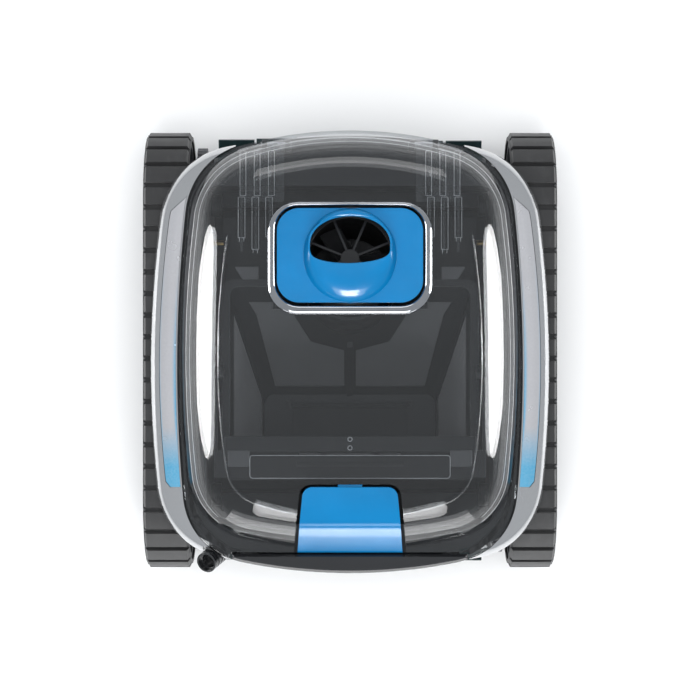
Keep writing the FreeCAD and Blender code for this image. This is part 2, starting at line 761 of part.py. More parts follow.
def tub():
    """The open tub: a low middle, two raised ends, cheeks, bosses, posts and the basket's rests."""
    w, t = tub_half_width, wall
    outer = join([
        box(-w, w, -tub_low_end, tub_low_end, tub_bottom, tub_step + 1),
        box(-w, w, tub_front, tub_rear, tub_step, tub_top),
    ])
    inner = join([
        box(-w + t, w - t, -tub_low_end + t, tub_low_end - t, tub_bottom + t, tub_top + 1),
        box(-w + t, w - t, tub_front + t, tub_rear - t, tub_step + t, tub_top + 1),
    ])
    solid = outer.cut(inner)
    extras = []
    for cheek in cheeks():
        extras.append(cheek)
        extras.append(to_front(cheek))
    seats = [(half_base, wheel_z, axle_r), (-half_base, wheel_z, axle_r), (roller_y, roller_z, roller_pin_r)]
    for y, z, r in seats:
        extras += sides(rod(r + 6, (w - axle_sink - 2, y, z), (1, 0, 0), axle_sink + 2))
    for y, z in cover_posts():
        extras += sides(rod(post_r, (w - t, y, z), (1, 0, 0), cover_x - w + t))
    rest_y = (inlet_front + inlet_rear) / 2
    for x in (-basket_low_x + 14, basket_low_x - 20):
        extras.append(box(x, x + 6, rest_y - 19, rest_y + 19, tub_bottom + t - 0.5, basket_floor - 0.3))
    solid = join([solid] + extras)
    cuts = [box(-inlet_half_x - inlet_fit, inlet_half_x + inlet_fit, inlet_front - inlet_fit,
                inlet_rear + inlet_fit, tub_bottom - 1, tub_bottom + t + 1)]
    for y, z, r in seats:
        cuts += sides(rod(r, (w - axle_sink, y, z), (1, 0, 0), axle_sink + 8))
    cuts += sides(rod(motor_shaft_r + running, (w - t - 1, pinion_y, pinion_z), (1, 0, 0), t + 2))
    for y, z in cover_posts():
        cuts += sides(rod(screw_r, (cover_x - screw_depth, y, z), (1, 0, 0), 20))
    return solid.cut(cuts)


def bottom_plate():
    """A wear plate under the tub with a lip round the suction inlet."""
    plate = rounded_block(-tub_half_width + 12, tub_half_width - 12, -tub_low_end + 10, tub_low_end - 10,
                          tub_bottom - 2.5, tub_bottom, 12)
    lip = rounded_block(-inlet_half_x - 12, inlet_half_x + 12, inlet_front - 12, inlet_rear + 12,
                        tub_bottom - 6, tub_bottom - 2, 8)
    hole = rounded_block(-inlet_half_x + 3, inlet_half_x - 3, inlet_front + 3, inlet_rear - 3, 0, 20, 4)
    return join([plate, lip]).cut(hole)


def upper_frame():
    """The ring the lid closes on, with the pedestal ears for the latch pin."""
    plate = rim_prism(-5.0, tub_top, frame_top).common(body_prism(11.5, tub_top, frame_top))
    opening = rounded_block(-tub_half_width + wall, tub_half_width - wall, tub_front + wall, tub_rear - wall,
                            tub_top - 1, frame_top + 1, 12)
    front = box(-fairing_front_x, fairing_front_x, -far, handle_rear + 0.8, tub_top - 1, frame_top + 1)
    sweep = rod(hinge_sweep, (-fairing_rear_x, hinge_y, hinge_z), (1, 0, 0), 2 * fairing_rear_x)
    behind = box(-fairing_rear_x, fairing_rear_x, hinge_y - 2, far, tub_top - 1, frame_top + 1)
    plate = plate.cut([opening, front, sweep, behind])
    ears = []
    for sign in (-1, 1):
        x0 = latch_ear_x if sign > 0 else -latch_ear_x - 5
        ear = slab([
            (latch_axis_y - 8, frame_top - 1), (latch_axis_y + 9, frame_top - 1),
            (latch_axis_y + 5, latch_axis_z + 4), (latch_axis_y - 4, latch_axis_z + 4),
        ], "x", x0, 5)
        ears.append(ear.cut(rod(latch_pin_r, (x0 - 1, latch_axis_y, latch_axis_z), (1, 0, 0), 7)))
    return join([plate] + ears)


# ---------------------------------------------------------------- fairings, strips, side covers
def body_dome(depth):
    """The body outline with its rounded shoulder, moved in by a depth."""
    r = fairing_shoulder
    spring = fairing_top - r
    base = body_prism(depth, fairing_skirt - (depth > 0), spring)
    wires = []
    for k in range(6):
        a = math.radians(18.0 * k)
        level = spring + (r - depth) * math.sin(a)
        prism = body_prism(r - (r - depth) * math.cos(a), level - 1, level)
        wires.append(top_wire(prism, level))
    return base.fuse(Part.makeLoft(wires, True, False))


def strip_plan(grow):
    """The accent strip's plan on the right: it runs along the lid rim and ends in a point behind."""
    half = rim_half_width
    rear = half_base
    outline = [
        (half - 41, -half_base + 13 - grow), (half + 8 + grow, -half_base + 13 - grow),
        (half + 13 + grow, -half_base + 19 - grow), (half + 30, -half_base + 30),
        (half + 30, rear - 32 + grow),
        (half + 7.5 + grow, rear - 11 + grow), (half - 19.5 + grow, rear + 13 + grow), (half - 41, rear + 30),
    ]
    plan = slab(outline, "z", fairing_skirt, 200)
    plan = plan.common(body_prism(strip_edge - grow, fairing_skirt, fairing_top + 5))
    along_rim = rim_prism(-seam - 1.6 + grow, fairing_skirt - 1, fairing_top + 6, -seam_rear - 1.6 + grow)
    return plan.cut(along_rim)


def accent_strip():
    layer = body_dome(0.0).cut(body_dome(strip_thickness))
    return layer.common(strip_plan(0.0))


def socket_rod(r, s0, s1):
    """A rod on the cable socket's axis, measured inwards from its mouth."""
    start = V(*socket_mouth) - socket_lean * s1
    return Part.makeCylinder(r, s1 - s0, start, socket_lean)


def fairing(left):
    """One side's shell over the belt, open inboard, with the strip's recess and an inner lip."""
    shell = body_dome(0.0).cut(body_dome(fairing_wall))
    lip = rim_prism(-seam - 3.5, frame_top, fairing_top, -seam_rear - 3.5).common(body_dome(1.0))
    shell = shell.fuse(lip)
    room = rim_prism(-seam, fairing_skirt - 2, fairing_top + 2, -seam_rear)
    recess = body_dome(0.0).cut(body_dome(strip_thickness + 0.001)).common(strip_plan(strip_gap))
    over_belt = box(belt_inner_x - 2.5, far, -far, far, 0, tub_top)
    keep = box(fairing_rear_x, far, 0, far, 0, far).fuse(box(fairing_front_x, far, -far, 0, 0, far))
    solid = shell.cut([room, recess, over_belt]).common(keep)
    if left:
        solid = mirrored(solid).cut(socket_rod(socket_r + 1.5, -30, socket_length + 2))
    return join([s for s in solid.Solids if s.Volume > 500])


def side_cover():
    """The plate between the wheels that closes the middle of a belt."""
    x0 = cover_x
    height = band_inner_r - 4
    y = half_base - 16
    plate = box(x0, x0 + cover_thickness, -y, y, wheel_z - height, wheel_z + height)
    for end in (-half_base, half_base):
        plate = plate.cut(rod(wheel_r + 2.5, (x0 - 1, end, wheel_z), (1, 0, 0), cover_thickness + 2))
    slots = []
    for k in range(-2, 3):
        slots.append(box(x0 - 1, x0 + 5, 14.0 * k - 2.5, 14.0 * k + 2.5, wheel_z - 34, wheel_z + 22))
    holes = [rod(screw_r, (x0 - 1, y_, z_), (1, 0, 0), 6) for y_, z_ in cover_posts()]
    return plate.cut(slots + holes)


def cover_screws():
    screws = []
    for y, z in cover_posts():
        screws.append(join([
            rod(screw_r, (cover_x - screw_depth + 2, y, z), (1, 0, 0), screw_depth - 2 + cover_thickness),
            rod(screw_head_r, (cover_x + cover_thickness, y, z), (1, 0, 0), screw_head),
        ]))
    return screws


# ---------------------------------------------------------------- front and rear ends
def carry_handle():
    """Front bumper, two legs and the grip bar over them, in one moulding."""
    front = rim_prism(0.5, bumper_bottom, handle_top)
    w = handle_half_width
    bar = front.common(box(-w, w, -far, handle_rear, handle_bottom, handle_top))
    w = handle_leg_outer
    bumper = front.common(box(-w, w, -far, tub_front, bumper_bottom, bumper_top))
    hollow = box(-w + 5, w - 5, -far, tub_front + 1, bumper_bottom - 1, bumper_top - 4)
    parts = [bar, bumper.cut(hollow.common(rim_prism(5.0, 0, 300)))]
    for sign in (-1, 1):
        x0 = handle_leg_inner if sign > 0 else -handle_leg_outer
        leg = box(x0, x0 + handle_leg_outer - handle_leg_inner, -far, tub_front, bumper_top - 4, tub_top)
        parts.append(front.common(leg))
    solid = join(parts)
    grip_edge = [
        e for e in solid.Edges
        if abs(e.BoundBox.ZMin - handle_top) < 1e-6 and abs(e.BoundBox.ZMax - handle_top) < 1e-6
    ]
    return solid.makeChamfer(2.5, grip_edge)


def rear_bridge():
    """Closes the back above the rear brush and carries the hinge ears."""
    w = fairing_rear_x - 1.0
    top = hinge_z - hinge_sweep
    t = 4.0
    outer = body_prism(0.8, bumper_bottom, top).common(box(-w, w, tub_rear, far, 0, far))
    inner = box(-w + t, w - t, tub_rear - 1, far, 0, top - t)
    inner = inner.common(body_prism(0.8 + t, bumper_bottom - 1, top - t))
    parts = [outer.cut(inner)]
    for centre in (-hinge_x, hinge_x):
        for side in (-1, 1):
            gap = hinge_arm_width / 2 + hinge_side_gap
            x0 = centre + gap if side > 0 else centre - gap - hinge_ear
            parts.append(box(x0, x0 + hinge_ear, hinge_y - 6, hinge_y, top - 1, hinge_z))
            parts.append(rod(hinge_barrel_r, (x0, hinge_y, hinge_z), (1, 0, 0), hinge_ear))
    return join(parts).cut(rod(hinge_pin_r, (-200, hinge_y, hinge_z), (1, 0, 0), far))


def hinge_pins():
    half = hinge_arm_width / 2 + hinge_side_gap + hinge_ear + 0.8
    return [rod(hinge_pin_r, (x - half, hinge_y, hinge_z), (1, 0, 0), 2 * half) for x in (-hinge_x, hinge_x)]


def cable_socket():
    """A ribbed barrel with a stepped bore, and the bracket that ties it to the handle's left leg."""
    barrel = socket_rod(socket_r - 1.2, 0, socket_length)
    ribs = [socket_rod(socket_r, 3 + 6.5 * k, 6.5 + 6.5 * k) for k in range(5)]
    collar = socket_rod(socket_r, 0, 2)
    end = V(*socket_mouth) - socket_lean * (socket_length - 9)
    bracket = box(end.x, -handle_leg_outer, end.y - 8, end.y + 8, end.z - 5, end.z + 1)
    solid = join([barrel, collar, bracket] + ribs)
    return solid.cut([
        socket_rod(socket_bore_r, -1, socket_depth), socket_rod(socket_bore_r + 1.2, -1, 6),
        socket_rod(socket_seat_r, -1, socket_depth + socket_carrier),
    ])


def socket_contacts():
    """The carrier at the bottom of the bore, with three sunk contacts."""
    carrier = socket_rod(socket_seat_r, socket_depth, socket_depth + socket_carrier)
    side = socket_lean.cross(V(0, 0, 1))
    side.normalize()
    up = side.cross(socket_lean)
    holes = []
    for k in range(3):
        a = 2 * math.pi * k / 3
        hole = socket_rod(1.2, socket_depth - 1, socket_depth + 3)
        hole.translate(side * (3.6 * math.cos(a)) + up * (3.6 * math.sin(a)))
        holes.append(hole)
    return carrier.cut(holes)


# ---------------------------------------------------------------- motor block
def motor_case():
    """The sealed block's lower half on its four feet."""
    w, t = block_half_width, wall
    case = box(-w, w, block_front, block_rear, block_bottom, block_split)
    case = case.cut(box(-w + t, w - t, block_front + t, block_rear - t, block_bottom + t, block_split + 1))
    feet = []
    for x in (-w + 12, w - 24):
        for y in (block_front + 10, block_rear - 22):
            feet.append(box(x, x + 12, y, y + 12, tub_bottom + t, block_bottom + 1))
    bores = sides(rod(motor_shaft_r + running, (w - t - 1, pinion_y, pinion_z), (1, 0, 0), t + 2))
    return join([case] + feet).cut(bores)


def motor_seal():
    w, t = block_half_width, wall
    outer = box(-w, w, block_front, block_rear, block_split, block_split + block_seal)
    return outer.cut(box(-w + t, w - t, block_front + t, block_rear - t, block_split - 1, block_split + 3))


def motor_cover():
    """The block's lid with the round turret the pump stands on, and the duct's four legs."""
    w, t = block_half_width, wall
    low = block_split + block_seal
    plate = box(-w, w, block_front, block_rear, low, low + t)
    turret = rod(turret_r, (0, pump_base_y, low), (0, 0, 1), turret_top - low)
    hollow = rod(turret_r - t, (0, pump_base_y, low - 1), (0, 0, 1), turret_top - t - low + 1)
    boss = pump_rod(10, -4, 14)
    legs = [leg_at(angle, 3.5, turret_top - 1) for angle in (45, 135, 225, 315)]
    ribs = []
    for k in range(10):
        rib = box(14, turret_r - 2, -1, 1, turret_top - 0.5, turret_top + 1.6)
        rib.rotate(V(0, 0, 0), V(0, 0, 1), 36 * k + 18)
        rib.translate(V(0, pump_base_y, 0))
        ribs.append(rib)
    solid = join([plate, turret]).cut(hollow)
    return join([solid, boss] + legs + ribs).cut([hollow.cut(boss), pump_rod(shaft_r + running, -10, 30)])


def leg_at(angle, r, low):
    """A pillar from the turret up to the duct's foot flange."""
    reach = duct_r + duct_wall + 1.6
    foot = on_axis(duct_from)
    x = reach * math.cos(math.radians(angle))
    y = foot.y + reach * math.sin(math.radians(angle))
    pillar = rod(r, (x, y, low), (0, 0, 1), 90)
    below = Part.makeBox(300, 300, 200, V(-150, -150, -200))
    below.rotate(V(0, 0, 0), V(1, 0, 0), -pump_tilt)
    below.translate(foot)
    return pillar.common(below)


def pump_motor():
    body = pump_rod(pump_motor_r, -62, -6)
    cap = pump_rod(16, -66, -62)
    return join([body, cap]).cut(pump_rod(shaft_r + running, -20, 0))


def drive_motors():
    """Two drive motors, one behind each pinion."""
    motor = join([
        rod(drive_motor_r, (60, pinion_y, pinion_z), (1, 0, 0), block_half_width - wall - 70.5),
        rod(8, (block_half_width - wall - 11, pinion_y, pinion_z), (1, 0, 0), 10),
    ])
    bore = rod(motor_shaft_r + running, (block_half_width - wall - 8, pinion_y, pinion_z), (1, 0, 0), 20)
    return sides(motor.cut(bore))


def control_board():
    """A circuit board on four posts, with two chips and two tall capacitors."""
    x0, x1 = pump_motor_r + 10, block_half_width - 14
    y0, y1 = block_front + 10, pinion_y - drive_motor_r - 10
    board = box(x0, x1, y0, y1, block_bottom + 7, block_bottom + 8.6)
    low = block_bottom + 8.4
    chips = [
        box(x0 + 8, x0 + 26, y0 + 10, y0 + 28, low, low + 3),
        box(x0 + 36, x0 + 50, y0 + 8, y0 + 22, low, low + 6),
        rod(5, (x0 + 62, y0 + 18, low), (0, 0, 1), 14),
        rod(5, (x0 + 62, y0 + 34, low), (0, 0, 1), 14),
    ]
    posts = []
    for x in (x0 + 4, x1 - 4):
        for y in (y0 + 4, y1 - 4):
            posts.append(rod(3, (x, y, block_bottom + wall), (0, 0, 1), 4))
    return join([board] + chips + posts)


# ---------------------------------------------------------------- pump duct and guard
def pump_duct():
    """The tube between the turret and the cowl, cut off level under the cowl's flange."""
    tube = pump_ring(duct_r + duct_wall, duct_r, duct_from, duct_to)
    foot = pump_ring(duct_r + duct_wall + 2.5, duct_r, duct_from, duct_from + 3)
    return join([tube, foot]).common(box(-200, 200, -far, far, 0, cowl_z - cowl_thickness))


def guard():
    """A spoked ring across the duct, above the propeller."""
    rim = pump_ring(duct_r, duct_r - 3, guard_at - 1.5, guard_at + 1.5)
    hub = pump_rod(9, guard_at - 1.5, guard_at + 2)
    spokes = []
    for k in range(guard_spokes):
        spoke = box(7, duct_r - 2, -1.2, 1.2, -1.5, 1.5)
        spoke.rotate(V(0, 0, 0), V(0, 0, 1), 360.0 / guard_spokes * k + 22.5)
        spoke.rotate(V(0, 0, 0), V(1, 0, 0), -pump_tilt)
        spoke.translate(on_axis(guard_at))
        spokes.append(spoke)
    return join([rim, hub] + spokes)


# ---------------------------------------------------------------- latch
def latch_plan(inset):
    """The button's outline from above: narrower behind, moved in by an inset."""
    rear, front = latch_rear - inset, latch_front + inset
    a, b = latch_rear_half - inset, latch_front_half - inset
    prism = slab([(-a, rear), (a, rear), (b, front), (-b, front)], "z", frame_top - 10, 120)
    return prism.makeFillet(max(latch_corner - inset, 3.0), corner_edges(prism, a, rear))


def latch_side(depth, floor_drop):
    """The button's side view: a level top, then a slope down to the handle."""
    base = fairing_top
    top = [
        (latch_rear + 1, base + 54.0 - depth), (latch_rear - 34, base + 53.0 - depth),
        (latch_rear - 43 + 0.4 * depth, base + 47.5 - depth),
        (latch_front + 2 + 0.86 * depth, base + 8.5 - 0.5 * depth),
        (latch_front - 1 + 0.95 * depth, base + 2.0),
    ]
    under = [
        (latch_front + 6, base + 2.0), (latch_rear - 36, base + 54.0 - floor_drop),
        (latch_rear + 1, base + 54.0 - floor_drop),
    ]
    return slab(top + under, "x", -100, 200)


def latch_button():
    """The hollow button: its cap, two webs with knuckles, and the nose under the lid's edge."""
    cap = latch_plan(0.0).common(latch_side(0.0, 14.0))
    cap = cap.cut(latch_plan(latch_skin).common(latch_side(latch_skin, 40.0)))
    parts = [cap]
    for sign in (-1, 1):
        x0 = latch_ear_x - 5.6 if sign > 0 else -latch_ear_x + 0.6
        web = slab([
            (latch_axis_y - 4, latch_axis_z - 2), (latch_axis_y + 4, latch_axis_z - 3),
            (latch_axis_y + 27, fairing_top + 46), (latch_axis_y + 27, fairing_top + 52),
            (latch_rear - 43, fairing_top + 46), (latch_front + 8, fairing_top + 12),
        ], "x", x0, 5)
        parts.append(web)
        parts.append(rod(5, (x0, latch_axis_y, latch_axis_z), (1, 0, 0), 5))
    reach = latch_gap - latch_nose_gap
    parts.append(box(-12, 12, latch_rear - 1, latch_rear + reach, fairing_top + 47, fairing_top + 51))
    bore = rod(latch_pin_r + running, (-60, latch_axis_y, latch_axis_z), (1, 0, 0), 120)
    return join(parts).cut(bore)


def latch_pin():
    return rod(latch_pin_r, (-latch_ear_x - 6, latch_axis_y, latch_axis_z), (1, 0, 0), 2 * latch_ear_x + 12)


def latch_spring():
    """A torsion spring's coils round the latch pin, between the two knuckles."""
    turns, pitch, r = 6, 2.4, 4.2
    helix = Part.makeHelix(pitch, turns * pitch, r)
    start = Part.makeCircle(0.8, V(r, 0, 0), V(0, 1, 0))
    coil = Part.Wire(helix.Edges).makePipeShell([Part.Wire(start)], True, True)
    coil.rotate(V(0, 0, 0), V(0, 1, 0), 90)
    coil.translate(V(-turns * pitch / 2, latch_axis_y, latch_axis_z))
    return coil


# ---------------------------------------------------------------- lid
def cowl_hole(z0, z1):
    return rounded_block(-cowl_half_width - hole_gap_side, cowl_half_width + hole_gap_side,
                         cowl_front - hole_gap_front, cowl_rear + hole_gap_rear, z0, z1, cowl_corner + 1.5)


def latch_notch():
    """The opening in the lid's front that the button stands in."""
    rear, front = latch_rear + latch_gap, latch_front - 16
    a, b = latch_rear_half + latch_gap, latch_front_half + latch_gap + 2
    prism = slab([(-a, rear), (a, rear), (b, front), (-b, front)], "z", frame_top - 10, 120)
    return prism.makeFillet(latch_corner + 2.0, corner_edges(prism, a, rear))


def handle_clearance():
    """What the lid leaves out in front so that the handle's bar can stand there."""
    return box(-handle_half_width - seam, handle_half_width + seam, -far, handle_rear + 1.7, 0, far)


def lid_shell():
    """The clear lid: a chamfered rim and a dome of even thickness, with its three openings."""
    rim = rim_prism(0.0, lid_rim_bottom, lid_rim_top)
    low = [e for e in rim.Edges if abs(e.BoundBox.ZMax - lid_rim_bottom) < 1e-3]
    rim = rim.makeChamfer(lid_chamfer, low)
    solid = rim.fuse(dome(0.0)).cut(dome(lid_wall))
    return solid.cut([cowl_hole(lid_rim_top, far), latch_notch(), handle_clearance()])


def lid_seal():
    """The sealing bead under the rim; it leaves the hinge side and the handle free."""
    low = frame_top + seal_gap
    bead = rim_prism(seal_in, low, lid_rim_bottom)
    bead = bead.cut(rim_prism(seal_in + seal_width, low - 1, lid_rim_bottom + 1))
    bead = bead.cut([box(-far, far, hinge_y - 20, far, 0, far), latch_notch(), handle_clearance()])
    return [s for s in bead.Solids if s.Volume > 50]


def outlet_collar():
    ring_ = rounded_block(-collar_half_width, collar_half_width, collar_front, collar_rear,
                          crown_z, crown_z + collar_height, cowl_corner + 8)
    return ring_.cut(cowl_hole(crown_z - 1, crown_z + 10))


def lid_hinge_arms():
    """Each arm: a barrel on the pin, a flat root under the rim and three ribs up to the dome's skin."""
    inner = dome(lid_wall)
    low = frame_top + 0.8
    half = hinge_arm_width / 2
    root_rear, root_front, rib_front = hinge_y - 10, hinge_y - 58, hinge_y - 110
    parts = [
        rod(hinge_barrel_r, (hinge_x - half, hinge_y, hinge_z), (1, 0, 0), 2 * half),
        box(hinge_x - half, hinge_x + half, hinge_y - 4, hinge_y + 4, hinge_z, lid_rim_bottom),
        box(hinge_x - half, hinge_x + half, root_rear - 4, hinge_y, low, lid_rim_bottom),
        box(hinge_x - half, hinge_rib_x[-1] + hinge_rib, root_front, root_rear, low, lid_rim_bottom),
    ]
    for x in hinge_rib_x:
        rib = slab([
            (root_rear, low), (root_front, low), (rib_front, fairing_top + 36),
            (rib_front, fairing_top + 60), (root_rear, fairing_top + 60),
        ], "x", x, hinge_rib)
        under_rim = box(-200, 200, root_front - 10, root_rear, 0, lid_rim_bottom)
        parts.append(rib.common(inner).fuse(rib.common(under_rim)))
    arm = join(parts).cut(cowl_hole(0, far))
    arm = arm.cut(rod(hinge_pin_r + running, (0, hinge_y, hinge_z), (1, 0, 0), 200))
    return sides(arm)


# ---------------------------------------------------------------- write the pieces
def write_all():
    right_belt = belt()
    save("right_belt", right_belt)
    save("left_belt", mirrored(right_belt))
    rear_wheel = wheel(half_base, pinion_angle)
    save("right_rear_wheel", rear_wheel)
    save("left_rear_wheel", mirrored(rear_wheel))
    save("right_front_wheel", to_front(mirrored(rear_wheel)))
    save("left_front_wheel", to_front(rear_wheel))
    axles = []
    for y in (half_base, -half_base):
        axles += sides(axle(y, wheel_z, axle_r, axle_r + 3))
    save("wheel_axles", Part.makeCompound(axles))
    save("roller_pins", Part.makeCompound(sides(axle(roller_y, roller_z, roller_pin_r, roller_pin_r + 2))))
    save("right_roller", roller())
    save("left_roller", mirrored(roller()))
    save("right_pinion", pinion())
    save("left_pinion", mirrored(pinion()))
    core = mirrored(brush_core())
    save("rear_brush_core", core)
    save("front_brush_core", to_front(core))
    blades = mirrored(brush_blades())
    save("rear_brush_blades", blades)
    save("front_brush_blades", to_front(blades))

    save("chassis_tub", tub())
    save("bottom_plate", bottom_plate())
    save("upper_frame", upper_frame())
    save("right_fairing", fairing(False))
    save("left_fairing", fairing(True))
    strip = accent_strip()
    save("right_accent_strip", strip)
    save("left_accent_strip", mirrored(strip))
    save("right_side_cover", side_cover())
    save("left_side_cover", mirrored(side_cover()))
    screws = []
    for screw in cover_screws():
        screws += sides(screw)
    save("cover_screws", Part.makeCompound(screws))
    save("carry_handle", carry_handle())
    save("rear_bridge", rear_bridge())
    save("hinge_pins", Part.makeCompound(hinge_pins()))
    save("cable_socket", cable_socket())
    save("socket_contacts", socket_contacts())

    save("motor_case", motor_case())
    save("motor_seal", motor_seal())
    save("motor_cover", motor_cover())
    save("pump_motor", pump_motor())
    save("drive_motors", Part.makeCompound(drive_motors()))
    save("control_board", control_board())
    save("pump_duct", pump_duct())
    save("outlet_guard", guard())
    save("outlet_cowl", cowl())

    save("propeller", propeller())
    save("propeller_shaft", pump_rod(shaft_r, -18, propeller_at + 12))
    save("propeller_nut", pump_rod(6.5, propeller_at + 12, propeller_at + 18))

    windows = basket_windows()
    save("filter_frame", basket_frame(windows))
    save("filter_mesh", basket_mesh(windows))
    save("filter_handle", bail())
    save("inlet_flap", flap())

    save("lid_shell", lid_shell())
    save("lid_seal", Part.makeCompound(lid_seal()))
    save("outlet_collar", outlet_collar())
    save("lid_hinge_arms", Part.makeCompound(lid_hinge_arms()))
    save("latch_button", latch_button())
    save("latch_pin", latch_pin())
    save("latch_spring", latch_spring())


write_all()
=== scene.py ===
"""The looks of a belt-driven pool cleaner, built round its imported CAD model.

The CAD nodes keep their places. This file gives every node a finish, rebuilds the
curved glossy parts as smooth pieces, adds the small parts that the CAD leaves out,
and sets up the floor, the lights and the camera.
"""

import json
import math

import bmesh
import bpy
from bpy.props import (
    FloatProperty,
    FloatVectorProperty,
    PointerProperty,
)
from mathutils import Matrix, Vector

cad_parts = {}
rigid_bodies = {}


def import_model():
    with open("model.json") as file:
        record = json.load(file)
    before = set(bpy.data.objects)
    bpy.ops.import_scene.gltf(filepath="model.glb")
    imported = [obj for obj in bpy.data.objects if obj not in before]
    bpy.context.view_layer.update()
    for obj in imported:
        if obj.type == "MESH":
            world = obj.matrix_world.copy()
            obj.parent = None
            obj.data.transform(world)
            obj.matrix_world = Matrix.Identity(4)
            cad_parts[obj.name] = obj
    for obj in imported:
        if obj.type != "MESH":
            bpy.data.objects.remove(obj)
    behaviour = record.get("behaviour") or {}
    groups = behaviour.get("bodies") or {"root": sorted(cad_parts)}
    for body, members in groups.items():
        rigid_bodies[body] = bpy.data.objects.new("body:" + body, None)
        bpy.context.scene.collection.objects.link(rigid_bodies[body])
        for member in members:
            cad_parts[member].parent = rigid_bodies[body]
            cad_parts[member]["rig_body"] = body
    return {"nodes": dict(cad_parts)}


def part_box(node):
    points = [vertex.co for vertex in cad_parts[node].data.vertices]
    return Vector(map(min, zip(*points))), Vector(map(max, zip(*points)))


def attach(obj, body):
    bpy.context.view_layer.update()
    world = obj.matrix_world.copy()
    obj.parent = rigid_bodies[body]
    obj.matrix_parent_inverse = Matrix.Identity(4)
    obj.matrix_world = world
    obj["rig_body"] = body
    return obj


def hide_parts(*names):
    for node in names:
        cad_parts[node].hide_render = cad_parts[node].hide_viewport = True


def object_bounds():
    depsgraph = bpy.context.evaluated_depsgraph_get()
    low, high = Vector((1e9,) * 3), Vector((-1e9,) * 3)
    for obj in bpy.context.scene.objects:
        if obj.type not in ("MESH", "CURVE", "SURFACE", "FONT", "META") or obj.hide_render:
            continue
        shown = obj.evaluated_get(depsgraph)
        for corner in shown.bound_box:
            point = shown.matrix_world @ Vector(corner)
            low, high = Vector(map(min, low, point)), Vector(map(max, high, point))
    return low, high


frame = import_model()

bl_info = {
    "name": "Pool cleaner looks",
    "version": (1, 0, 0),
    "blender": (4, 5, 0),
    "location": "View3D > Sidebar > Pool cleaner",
    "description": "Finishes, detail pieces and studio for a belt-driven pool cleaner",
    "category": "Object",
}

CAD_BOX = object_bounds()
NODES = frame["nodes"]
WELD = 1e-5
CREASE = math.radians(32)

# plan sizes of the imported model, in metres
RIM_HALF, RIM_WIDEST, RIM_REAR, RIM_FRONT = 0.1715, -0.040, 0.2195, -0.2235
RIM_REAR_CORNER, RIM_FRONT_CORNER = (0.157, 0.187), (0.160, -0.1995)
BODY_HALF, BODY_REAR, BODY_FRONT = 0.2015, 0.217, -0.221
BODY_REAR_CORNER, BODY_FRONT_CORNER = (0.184, 0.190), (0.188, -0.196)
RIM_REAR_R, RIM_FRONT_R, LEAST_CORNER_R = 0.080, 0.075, 0.012
BODY_REAR_R, BODY_FRONT_R = 0.085, 0.080
FAIRING_TOP, RIM_LOW, CROWN = 0.168, 0.164, 0.225
DOME_IN = (0.043, 0.042, 0.037)
DOME_FOOT_FRONT = 0.021
LID_WALL = 0.0032
DOME_STEPS = ((0.06, 0.0), (0.10, 0.0085), (0.16, 0.016), (0.28, 0.0268), (0.45, 0.037), (0.60, 0.0435),
              (0.75, 0.0482), (0.90, 0.0515), (0.985, 0.0529), (1.0, 0.0533), (1.05, 0.0540), (1.35, 0.0560),
              (1.7, 0.0570))
OUTLINE_STEPS = (16, 18, 26, 18, 16)
SHOULDER, FAIRING_FOOT, FAIRING_WALL = 0.020, 0.105, 0.0035
SHOULDER_STEPS = 12
SEAM, SEAM_REAR = 0.0012, 0.0024
STRIP_DEPTH, STRIP_GAP = 0.002, 0.0005
BELT_ROOM_TOP = 0.1535
THROUGH, THROUGH_LID = (0.05, 0.25), (0.15, 0.3)
SOCKET_LEAN, SOCKET_SEAT = (0.40, -0.30, math.sqrt(0.75)), (0.144, -0.213, 0.162)
SOCKET_HOLE_R, SOCKET_HOLE_DEPTH = 0.012, 0.086
PEGS, PEG_SIZE, GROOVE_DEPTH = 48, (0.0024, 0.0020, 0.0018), 0.004
BASKET_TOP = 0.188
RAIL_MARKS, RAIL_MARK_LEVEL = (-0.0880, -0.0965), 0.0006
# ribs under the dome: X, half width, front, rear and height of each frame, then the prongs with hooked ends
RIB_FRAME, PRONG_LEVEL = (0.0029, 0.152, 0.196, 0.2030), 0.2110
PRONGS = ((0.0930, 0.0985), (0.1065, 0.1100))
OVER_BELT = ((0.1605, -0.3), (0.3, -0.3), (0.3, 0.3), (0.1605, 0.3))
BETWEEN_FAIRINGS = ((-0.3, -0.3), (0.120, -0.3), (0.120, 0.0), (0.115, 0.0), (0.115, 0.3), (-0.3, 0.3))
SHOULDER_SHARES = (0.06, 0.08, 0.10, 0.13, 0.16, 0.20, 0.25, 0.30, 0.36, 0.42, 0.48, 0.54, 0.60, 0.66, 0.72,
                   0.78, 0.84, 0.90, 0.95, 0.985, 1.0, 1.05, 1.12, 1.20, 1.30, 1.40, 1.50, 1.60, 1.70)
COLLAR_SECTION = ((0.0, 0.0), (0.0, 0.0016), (0.12, 0.0029), (0.35, 0.0036), (0.65, 0.0034), (0.9, 0.0020),
                  (1.0, 0.0002), (1.0, 0.0))


# ------------------------------------------------------------------ settings
def colour_property(name, description, default):
    """A colour setting shown as a swatch."""
    return FloatVectorProperty(
        name=name, description=description, subtype="COLOR", size=3,
        min=0, max=1, default=default,
    )


def length_property(name, description, default):
    """A length setting in metres."""
    return FloatProperty(name=name, description=description, unit="LENGTH", min=0, default=default)


